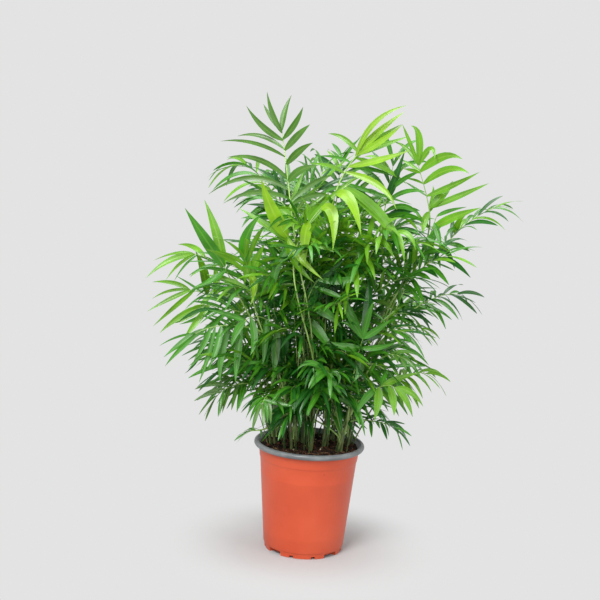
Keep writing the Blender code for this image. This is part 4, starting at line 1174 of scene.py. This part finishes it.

# Leaflets that show one by one: frond, view, then in that view the foot, bow and tip, across and
# down, and the width; how far behind the foot the bow and the tip lie, in mm; tone
# A leaflet's tone is bright where it paints light on a lit leaflet and dark where it paints shade on a
# shaded one; young and old are leaf colours.
SHOWN_LEAFLETS = (
    ("top_right", "upper_right", (905, 612), (1090, 420), (1245, 515), 84, -16, -32, "bright"),
    ("top_right", "upper_right", (930, 722), (1140, 530), (1298, 640), 84, -18, -36, "bright"),
    ("top_right", "upper_right", (950, 832), (1150, 760), (1395, 625), 66, -12, -28, "bright"),
    ("top_right", "upper_right", (1050, 925), (1240, 830), (1475, 728), 66, -14, -26, "bright"),
    ("top_right", "upper_right", (1060, 925), (1100, 810), (1160, 705), 84, -8, 8, "bright"),
    ("top_right", "upper_right", (1010, 965), (1000, 860), (985, 745), 56, 8, 18, "bright"),
    ("top_right", "upper_right", (935, 835), (840, 770), (740, 710), 24, 8, 18, "bright"),
    ("right_broad", "upper_right", (960, 1112), (1150, 1020), (1400, 938), 92, -20, -36, "bright"),
    ("right_arch", "upper_right", (1140, 1130), (1190, 1060), (1275, 1000), 66, -10, -20, "bright"),
    ("right_broad", "upper_right", (1050, 1090), (1040, 1180), (1052, 1300), 58, -20, -34, "middle"),
    ("right_arch", "upper_right", (1150, 1060), (1120, 1100), (1100, 1200), 50, -20, -30, "middle"),
    ("right_broad", "upper_right", (990, 1000), (1100, 960), (1280, 930), 40, 10, 30, "middle"),
    ("top_right", "upper_right", (850, 1110), (880, 1030), (840, 990), 50, 2, 10, "bright"),
    ("left_broad", "upper_left", (400, 985), (250, 830), (105, 602), 88, -12, -26, "middle"),
    ("left_broad", "upper_left", (405, 985), (335, 780), (235, 545), 76, -4, 6, "bright"),
    ("centre_left", "upper_left", (462, 985), (470, 800), (625, 640), 92, -12, -18, "middle"),
    ("left_mid", "upper_left", (262, 1170), (240, 1020), (172, 898), 78, -16, -28, "bright"),
    ("left_mid", "upper_left", (325, 1190), (330, 1080), (298, 965), 58, 4, 14, "bright"),
    ("left_broad", "upper_left", (420, 1000), (300, 1100), (160, 1140), 50, -22, -36, "middle"),
    ("young_left", "upper_left", (800, 805), (690, 640), (622, 402), 104, -12, -22, "young"),
    ("top_left", "upper_left", (860, 720), (800, 620), (720, 585), 80, 8, 18, "bright"),
    ("young_left", "upper_left", (780, 850), (640, 700), (468, 600), 52, 0, 10, "bright"),
    ("young_left", "upper_left", (735, 840), (850, 930), (1045, 1088), 58, -16, -26, "young"),
    ("young_left", "upper_left", (700, 840), (800, 970), (985, 1110), 60, -8, -12, "bright"),
    ("centre_left", "upper_left", (675, 1025), (610, 1100), (552, 1260), 58, -12, -24, "young"),
    ("centre_left", "upper_left", (640, 880), (540, 960), (500, 1130), 70, 8, 14, "bright"),
    ("young_left", "upper_left", (700, 900), (660, 1060), (720, 1190), 60, -4, -4, "middle"),
    ("front_bright", "upper_left", (1000, 575), (1150, 545), (1112, 892), 84, -18, -30, "young"),
    ("front_bright", "upper_left", (1128, 495), (1250, 470), (1305, 788), 84, -16, -24, "young"),
    ("front_bright", "upper_left", (945, 700), (900, 760), (922, 992), 84, -16, -24, "young"),
    ("front_bright", "upper_left", (880, 690), (1040, 550), (1262, 388), 46, 2, 6, "bright"),
    ("front_bright", "upper_left", (1290, 590), (1460, 610), (1600, 870), 76, -2, -8, "bright"),
    ("front_bright", "upper_right", (340, 955), (600, 1030), (720, 1330), 76, -4, -14, "bright"),
    ("front_bright", "upper_left", (900, 660), (960, 600), (1100, 560), 66, 10, 16, "bright"),
    ("front_bright", "upper_left", (950, 720), (1060, 800), (1180, 940), 70, 10, 10, "middle"),
    ("front_bright", "upper_left", (860, 800), (980, 830), (1120, 900), 60, -12, -22, "bright"),
    ("upper_right", "upper_right", (760, 900), (640, 760), (740, 430), 80, -4, -10, "dark"),
    ("upper_right", "upper_right", (680, 1065), (760, 940), (870, 965), 100, -14, -24, "dark"),
    ("right_hanging", "upper_right", (740, 1045), (800, 1130), (832, 1305), 62, -16, -24, "bright"),
    ("top_right", "upper_right", (830, 985), (890, 1050), (900, 1175), 72, -16, -28, "bright"),
    ("centre_dark", "middle", (470, 510), (620, 330), (860, 90), 125, -8, -14, "dark"),
    ("centre_dark", "middle", (560, 480), (740, 360), (1000, 220), 90, 6, 14, "dark"),
    ("centre_dark", "middle", (560, 515), (730, 555), (845, 720), 85, -10, -18, "middle"),
    ("centre_dark", "middle", (495, 620), (660, 740), (785, 1005), 95, -12, -22, "middle"),
    ("centre_dark", "middle", (440, 600), (400, 500), (320, 410), 85, -4, -8, "middle"),
    ("centre_dark", "middle", (470, 490), (420, 400), (310, 350), 60, 8, 14, "dark"),
    ("centre_dark", "middle", (700, 400), (780, 410), (880, 460), 50, -10, -16, "middle"),
    ("centre_dark", "middle", (760, 350), (920, 320), (1060, 215), 65, -6, -12, "middle"),
    ("centre_fan", "middle", (1040, 805), (960, 690), (850, 500), 60, -6, -14, "middle"),
    ("centre_fan", "middle", (1020, 900), (880, 915), (735, 845), 75, -8, -16, "middle"),
    ("centre_fan", "middle", (1000, 740), (930, 670), (840, 672), 45, -6, -12, "middle"),
    ("centre_fan", "middle", (1040, 760), (1080, 600), (1140, 470), 60, -6, -12, "middle"),
    ("centre_fan", "middle", (1050, 810), (1180, 740), (1300, 640), 60, -4, -8, "middle"),
    ("centre_fan", "middle", (1040, 860), (1130, 790), (1230, 800), 50, 8, 16, "dark"),
    ("centre_fan", "middle", (1040, 915), (1200, 925), (1345, 850), 48, -8, -16, "middle"),
    ("centre_fan", "middle", (1040, 960), (1050, 1100), (955, 1215), 70, -6, -10, "middle"),
    ("centre_fan", "middle", (1040, 760), (950, 600), (845, 380), 50, 8, 14, "middle"),
    ("centre_fan", "middle", (1040, 760), (1120, 450), (1090, 240), 84, 10, 24, "dark"),
    ("centre_low", "middle", (775, 1005), (670, 1060), (622, 1180), 65, -6, -10, "bright"),
    ("centre_low", "middle", (660, 975), (520, 955), (430, 1110), 50, -4, -8, "middle"),
    ("centre_low", "middle", (800, 1020), (850, 1120), (815, 1240), 45, -4, -8, "middle"),
    ("centre_low", "middle", (620, 1020), (560, 1060), (585, 1135), 50, -2, -4, "middle"),
    ("left_hang", "middle", (430, 760), (330, 880), (250, 1070), 105, -4, -8, "dark"),
    ("left_hang", "middle", (90, 760), (140, 900), (125, 1040), 60, -6, -12, "middle"),
    ("left_hang", "middle", (150, 820), (225, 980), (220, 1160), 80, -8, -16, "middle"),
    ("centre_low", "middle", (520, 1270), (600, 1310), (690, 1410), 88, -4, -8, "middle"),
    ("centre_low", "middle", (540, 1240), (740, 1170), (870, 1380), 52, -4, -8, "middle"),
    ("centre_low", "middle", (450, 1350), (540, 1420), (660, 1440), 50, -4, -8, "middle"),
    ("left_low_front", "middle", (150, 1390), (300, 1440), (450, 1440), 38, -4, -8, "middle"),
    ("right_front", "middle", (1200, 1290), (1190, 1400), (1150, 1568), 78, -8, -14, "bright"),
    ("right_front", "middle", (1280, 1280), (1335, 1390), (1330, 1530), 72, -8, -14, "bright"),
    ("right_front", "middle", (1340, 1270), (1450, 1350), (1500, 1540), 60, -4, -8, "bright"),
    ("right_front", "middle", (1345, 1260), (1500, 1280), (1600, 1440), 60, 4, 8, "bright"),
    ("right_front", "middle", (1200, 1240), (1350, 1180), (1560, 1130), 60, 10, 20, "bright"),
    ("right_front", "middle", (1160, 1275), (1060, 1330), (960, 1530), 65, -6, -12, "middle"),
    ("right_front", "middle", (1130, 1250), (1080, 1210), (1060, 1155), 60, 8, 14, "middle"),
    ("right_front", "middle", (1200, 1240), (1230, 1160), (1280, 1100), 50, 10, 20, "middle"),
    ("left_upper", "left", (620, 135), (450, 90), (155, 230), 38, 4, 10, "bright"),
    ("left_upper", "left", (620, 140), (330, 160), (70, 425), 75, -8, -16, "bright"),
    ("left_upper", "left", (620, 160), (420, 240), (290, 450), 32, -14, -26, "bright"),
    ("left_upper", "left", (640, 215), (490, 250), (380, 470), 30, -16, -28, "middle"),
    ("left_upper", "left", (740, 170), (620, 40), (420, 45), 60, 14, 26, "bright"),
    ("left_upper", "left", (860, 260), (760, 180), (640, 190), 40, 16, 30, "middle"),
    ("left_upper", "left", (860, 300), (700, 280), (560, 420), 45, -16, -30, "bright"),
    ("left_upper", "left", (960, 340), (1040, 200), (1180, 150), 40, 14, 26, "middle"),
    ("left_mid", "left", (560, 570), (380, 440), (140, 470), 52, 6, 12, "bright"),
    ("left_mid", "left", (560, 575), (320, 530), (135, 660), 36, -2, -6, "bright"),
    ("left_mid", "left", (570, 590), (350, 640), (85, 805), 56, -8, -16, "bright"),
    ("left_mid", "left", (600, 620), (400, 730), (150, 965), 50, -14, -28, "bright"),
    ("left_mid", "left", (700, 620), (560, 480), (400, 400), 30, 12, 24, "middle"),
    ("left_mid", "left", (720, 640), (600, 680), (500, 780), 30, -16, -30, "middle"),
    ("left_mid", "left", (900, 700), (930, 600), (1075, 505), 58, 10, 20, "bright"),
    ("left_lower", "left", (760, 770), (450, 800), (220, 1040), 80, -8, -16, "bright"),
    ("left_lower", "left", (680, 760), (760, 680), (830, 540), 66, 10, 20, "bright"),
    ("left_lower", "left", (1060, 860), (1120, 760), (1180, 650), 70, 14, 26, "bright"),
    ("left_lower", "left", (720, 800), (540, 890), (370, 930), 50, -4, -8, "bright"),
    ("left_lower", "left", (830, 830), (640, 900), (440, 940), 46, -10, -20, "middle"),
    ("left_lower", "left", (760, 820), (600, 950), (490, 1115), 70, -12, -24, "bright"),
    ("left_lower", "left", (1130, 920), (980, 980), (870, 1070), 60, -10, -20, "middle"),
    ("left_lower", "left", (940, 850), (800, 960), (640, 1040), 50, -10, -20, "middle"),
    ("left_fan", "left", (640, 1060), (400, 1060), (215, 1185), 28, 8, 16, "middle"),
    ("left_fan", "left", (760, 1060), (500, 1110), (270, 1310), 80, -4, -8, "middle"),
    ("left_fan", "left", (700, 1060), (430, 1220), (285, 1415), 56, -8, -14, "middle"),
    ("left_fan", "left", (820, 1060), (720, 1180), (600, 1350), 60, -10, -18, "middle"),
    ("left_fan", "left", (920, 1060), (880, 1200), (770, 1440), 70, -12, -20, "middle"),
    ("left_fan", "left", (1000, 1060), (870, 1350), (900, 1580), 84, -12, -20, "middle"),
    ("left_fan", "left", (1120, 1060), (1080, 1350), (1070, 1600), 84, -10, -18, "middle"),
    ("left_fan", "left", (860, 1060), (760, 1350), (660, 1600), 56, -8, -16, "middle"),
    ("left_fan", "left", (760, 1060), (700, 1330), (545, 1415), 32, 6, 12, "middle"),
    ("left_fan", "left", (800, 1060), (680, 1380), (500, 1490), 32, 10, 18, "dark"),
    ("left_hang", "left", (1160, 930), (1060, 1000), (1015, 1210), 84, -8, -14, "middle"),
    ("left_hang", "left", (1270, 960), (1320, 1120), (1240, 1290), 80, -8, -14, "middle"),
    ("left_hang", "left", (1380, 990), (1410, 1150), (1370, 1400), 75, -8, -14, "middle"),
    ("left_hang", "left", (1200, 940), (1000, 840), (760, 780), 60, 10, 20, "middle"),
    ("centre_left", "left", (1215, 440), (1280, 260), (1400, 50), 104, -6, -12, "bright"),
    ("centre_left", "left", (1320, 420), (1400, 380), (1500, 600), 60, -4, -8, "middle"),
    ("top_bright", "plume", (460, 860), (640, 310), (1140, 200), 72, -4, -10, "young"),
    ("top_bright", "plume", (470, 880), (735, 535), (1100, 290), 100, 4, 10, "young"),
    ("top_bright", "plume", (480, 880), (750, 615), (1060, 450), 66, 12, 24, "bright"),
    ("top_bright", "plume", (500, 880), (810, 695), (1080, 450), 84, -10, -16, "young"),
    ("top_bright", "plume", (540, 900), (805, 725), (1170, 610), 84, 6, 12, "bright"),
    ("top_bright", "plume", (420, 1030), (800, 935), (1180, 780), 95, -16, -24, "young"),
    ("top_bright", "plume", (420, 1120), (875, 1181), (1000, 1568), 85, -18, -32, "young"),
    ("top_bright", "plume", (465, 790), (313, 560), (110, 570), 64, 4, 14, "bright"),
    ("top_bright", "plume", (400, 940), (235, 850), (-60, 870), 36, 16, 36, "middle"),
    ("top_bright", "plume", (330, 1090), (160, 960), (-160, 960), 60, -6, -16, "bright"),
    ("top_bright", "plume", (600, 990), (900, 1010), (1130, 1230), 78, 10, 20, "bright"),
    ("top_bright", "plume", (360, 1240), (700, 1350), (1200, 1500), 60, 8, 8, "middle"),
    ("top_bright", "plume", (480, 1080), (760, 1030), (960, 1130), 66, 18, 24, "middle"),
    ("top_right", "plume", (1250, 690), (1155, 640), (1080, 450), 66, 4, 10, "bright"),
    ("top_right", "plume", (1250, 700), (1350, 500), (1190, 465), 90, -8, -12, "bright"),
    ("top_right", "plume", (1310, 880), (1495, 590), (1500, 900), 80, -10, -20, "bright"),
    ("top_right", "plume", (1310, 880), (1145, 700), (960, 680), 48, 10, 20, "bright"),
    ("top_right", "plume", (1350, 1050), (1185, 975), (1000, 880), 52, 12, 26, "bright"),
    ("top_right", "plume", (1350, 1080), (1200, 1050), (1080, 1030), 46, -10, -16, "bright"),
    ("top_right", "plume", (1380, 1220), (1240, 1160), (1080, 1150), 34, 10, 24, "bright"),
    ("top_right", "plume", (1400, 1380), (1250, 1290), (1100, 1200), 34, 6, 14, "middle"),
    ("top_left", "crown", (347, 130), (320, 85), (313, 28), 13, -4, -8, "old"),
    ("top_left", "crown", (348, 125), (318, 92), (303, 58), 13, 6, 12, "old"),
    ("top_left", "crown", (348, 125), (350, 80), (372, 37), 15, 4, 8, "old"),
    ("top_left", "crown", (350, 145), (388, 105), (402, 66), 16, -6, -12, "old"),
    ("top_left", "crown", (350, 150), (295, 122), (262, 63), 16, -6, -12, "old"),
    ("top_left", "crown", (356, 175), (392, 130), (418, 110), 17, -6, -12, "old"),
    ("top_left", "crown", (355, 170), (300, 122), (240, 138), 11, 8, 16, "old"),
    ("top_left", "crown", (362, 207), (390, 168), (425, 155), 18, -6, -12, "old"),
    ("top_left", "crown", (358, 190), (280, 140), (198, 150), 9, -6, -14, "old"),
    ("top_left", "crown", (366, 250), (390, 212), (440, 210), 19, -6, -14, "old"),
    ("top_left", "crown", (362, 240), (290, 175), (215, 190), 13, -6, -14, "old"),
    ("top_left", "crown", (368, 270), (270, 205), (168, 282), 13, 6, 14, "old"),
    ("top_left", "crown", (370, 290), (280, 255), (205, 305), 13, -8, -18, "old"),
    ("top_left", "crown", (372, 300), (430, 240), (480, 232), 13, 10, 20, "old"),
    ("top_left", "crown", (372, 310), (440, 268), (475, 290), 14, -8, -16, "old"),
)

# Fronds whose leaflets are all set out one by one, so that the rule gives them none
SHOWN_ALONE = (
    "top_bright", "top_right", "right_broad", "left_broad", "young_left", "front_bright",
    "left_upper", "left_mid", "left_lower", "left_fan", "left_hang", "right_front",
    "centre_dark", "centre_fan", "top_left",
)

blade = bmesh.new()
bmesh.ops.create_grid(blade, x_segments=BLADE_COLUMNS, y_segments=BLADE_ROWS, size=1.0)
blade.verts.index_update()
blade_across = np.array([vert.co.x for vert in blade.verts])
blade_far = np.array([(vert.co.y + 1) / 2 for vert in blade.verts])
blade_faces = np.array([[vert.index for vert in face.verts] for face in blade.faces])
blade.free()
levels = np.linspace(0.0, 1.0, BLADE_ROWS + 1)
blade_row = np.rint(blade_far * BLADE_ROWS).astype(int)


def outline(start, lean, fullness):
    """Half width along a leaflet, 1 at its widest; lean sets where that is."""
    return np.maximum(np.sin(pi * (start + (1 - start) * levels) ** lean), 0.02) ** fullness


def unit_rows(rows):
    """Each row of an array as a unit vector."""
    return rows / np.linalg.norm(rows, axis=1)[:, None]


def bent_blade(spine, width, normal, half, fold, across=blade_across):
    """Points of the flat blade, bent along a spine and folded along its middle."""
    reach = across * half[blade_row]
    lift = np.abs(across) * half[blade_row] * fold[blade_row]
    return (spine[blade_row] + width[blade_row] * reach[:, None]
            + normal[blade_row] * lift[:, None])


blade_width = outline(0.04, 0.92, 0.72)
lance_width = outline(0.03, 0.72, 0.95)


def leaflet_verts(frond, place, share, hand, rng):
    """Points of one bent leaflet; hand is 1 on the left and -1 on the right."""
    along, side, upper = frond.frame(place)
    angle = (BASE_ANGLE + (TIP_ANGLE - BASE_ANGLE) * share ** 1.2) * frond.spread
    angle += rng.uniform(-ANGLE_STRAY, ANGLE_STRAY)
    rise = RISE * (1.0 - 0.6 * share) + rng.uniform(-RISE_STRAY, RISE_STRAY)
    heading = along * cos(angle) + side * hand * sin(angle)
    heading = (heading * cos(rise) + upper * sin(rise)).normalized()
    profile = 0.84 + 0.16 * sin(pi * min(1.0, 0.15 + share * 0.95))
    length = frond.leaflet * profile * rng.uniform(*LENGTH_STRAY)
    droop = frond.droop * rng.uniform(*DROOP_STRAY)
    curl = rng.uniform(*CURL)
    direction = unit_rows(np.array(heading)[None, :]
                          - np.array(UP)[None, :] * (2 * droop * levels[:, None])
                          + np.array(along)[None, :] * (curl * levels[:, None]))
    steps = (direction[1:] + direction[:-1]) / 2 * length / BLADE_ROWS
    spine = np.vstack([np.zeros(3), np.cumsum(steps, axis=0)])
    spine = spine + np.array(frond.point(place))[None, :]
    width_way = np.array(along - heading * along.dot(heading))
    width = unit_rows(width_way[None, :] - direction * (direction @ width_way)[:, None])
    normal = np.cross(width, direction) * hand
    twist = rng.uniform(-TWIST, TWIST) + rng.uniform(-TIP_TWIST, TIP_TWIST) * levels ** 1.5
    width = width * np.cos(twist)[:, None] + normal * np.sin(twist)[:, None] * hand
    half = length * frond.slimness * SLIMMER / 2 * blade_width
    fold = rng.uniform(*FOLD) * (1.0 - 0.5 * levels)
    return bent_blade(spine, width, np.cross(width, direction) * hand, half, fold,
                      blade_across * hand)


courses = {frond.name: frond for frond in fronds}


def placed_leaflet(name, view, foot, bow, tip, width, bow_back, tip_back):
    """Foot of a leaflet on its frond's course, then its bow, its tip and its width in mm."""
    left, top, times, leaf_share = VIEWS[view]
    foot, bow, tip = [(left + x / times, top + y / times) for x, y in (foot, bow, tip)]
    seats = [courses[name].point(way) for way in SEAT_WAYS]
    seat = min(seats, key=lambda place: dist(shows_at(place), foot))
    back = seat.y / MM
    breadth = max(LEAST_WIDTH, round(width / times * leaf_share * PICTURE_STEP))
    return seat, seen_at(*bow, back + bow_back), seen_at(*tip, back + tip_back), breadth


def shown_leaflet(base, bow, tip, breadth, rng):
    """Points of one leaflet that runs from its base past its bow to its tip."""
    base, bow, tip = np.array(base), np.array(bow) * MM, np.array(tip) * MM
    share = levels[:, None]
    spine = base * (1 - share) ** 2 + bow * 2 * share * (1 - share) + tip * share ** 2
    direction = unit_rows((bow - base) * (1 - share) + (tip - bow) * share)
    facing = np.array((rng.uniform(-0.4, 0.4), -1.0, rng.uniform(0.1, 0.7)))
    width = unit_rows(np.cross(direction, facing))
    fold = np.full_like(levels, SHOWN_FOLD)
    return bent_blade(spine, width, np.cross(width, direction), breadth * MM / 2 * lance_width,
                      fold)


sprays = {tone: [] for tone in TONES}
rng = random.Random(LEAFLET_SEED)
for *reading, tone in SHOWN_LEAFLETS:
    sprays[tone].append(shown_leaflet(*placed_leaflet(*reading), rng))
for frond in fronds:
    if frond.name in SHOWN_ALONE:
        continue
    rng = random.Random(frond.name)
    pairs = max(LEAST_PAIRS, round(frond.pairs * FINER))
    for pair in range(pairs):
        share = pair / (pairs - 1)
        for hand in (1, -1):
            stagger = rng.uniform(-STAGGER, STAGGER) / pairs if 0 < pair < pairs - 1 else 0.0
            place = 1.0 + (share + stagger) * LAST_SEAT
            tone = rng.choice(NEIGHBOURS[frond.tone])
            sprays[tone].append(leaflet_verts(frond, place, share, hand, rng))


def leaf_group():
    """Colour and height of a blade: a pale midrib, fine veins along it and soft mottling."""
    group, given, out = new_group("leaf_blade", {"Blade": "Color", "Rib": "Color"},
                                  {"Color": "Color", "Height": "Float"})
    place = add_node(group, "ShaderNodeTexCoord")
    across = add_node(group, "ShaderNodeSeparateXYZ", {"Vector": place.outputs["UV"]})
    across = across.outputs["X"]
    off = worked(group, "ABSOLUTE", worked(group, "SUBTRACT", across, 0.5))
    midrib = mapped(group, off, 0.02, 0.10, 1.0, 0.0)
    veins = worked(group, "SINE", worked(group, "MULTIPLY", across, 22.0))
    haze = cloud(group, place.outputs["Object"], 45.0, 2.0)
    shaded = add_node(group, "ShaderNodeVectorMath",
                      {0: given["Blade"], "Scale": mapped(group, haze, 0.3, 0.7, 0.78, 1.25)},
                      operation="SCALE")
    ribbed = add_node(group, "ShaderNodeMix",
                      {"Factor": worked(group, "MULTIPLY", midrib, 0.55),
                       "A": shaded.outputs["Vector"], "B": given["Rib"]}, data_type="RGBA")
    group.links.new(ribbed.outputs["Result"], out["Color"])
    group.links.new(worked(group, "MULTIPLY_ADD", midrib, 2.0, veins), out["Height"])
    return group


blade_group = leaf_group()


def leaf_material(name, blade_colour, rib_colour):
    """A waxy leaf that lets some light through."""
    material, tree, shader = new_material(name)
    surface = add_node(tree, "ShaderNodeGroup", {"Blade": blade_colour, "Rib": rib_colour},
                       node_tree=blade_group)
    tree.links.new(surface.outputs["Color"], shader.inputs["Base Color"])
    shader.inputs["Roughness"].default_value = 0.33
    shader.inputs["Specular IOR Level"].default_value = 0.5
    roughen(tree, shader, surface.outputs["Height"], 0.07, 0.00012)
    through = add_node(tree, "ShaderNodeBsdfTranslucent", {"Color": surface.outputs["Color"]})
    mixed = add_node(tree, "ShaderNodeMixShader",
                     {0: LIGHT_THROUGH, 1: shader.outputs[0], 2: through.outputs[0]})
    tree.links.new(mixed.outputs[0], tree.nodes["Material Output"].inputs["Surface"])
    return material


blade_uv = np.stack([(blade_across + 1) / 2, blade_far], axis=1)[blade_faces].reshape(-1, 2)
# Each tone is a material and a piece, so leaf_bright and leaf_dark are lit and shaded copies of the
# leaf green: painted light and painted shade.
for tone, (blade_colour, rib_colour) in TONES.items():
    count = len(sprays[tone])
    starts = np.arange(count)[:, None, None] * len(blade_across)
    faces = (blade_faces[None, :, :] + starts).reshape(-1, 4)
    mesh = bpy.data.meshes.new("leaflets_" + tone)
    mesh.from_pydata(np.concatenate(sprays[tone]).tolist(), [], faces.tolist())
    layer = mesh.uv_layers.new(name="blade")
    layer.data.foreach_set("uv", np.tile(blade_uv, (count, 1)).ravel())
    nodes = [name for name in frond_nodes if tone_of.get(name) == tone]
    new_piece("leaflets_" + tone, mesh, leaf_material("leaf_" + tone, blade_colour, rib_colour),
              nodes, smooth=180)
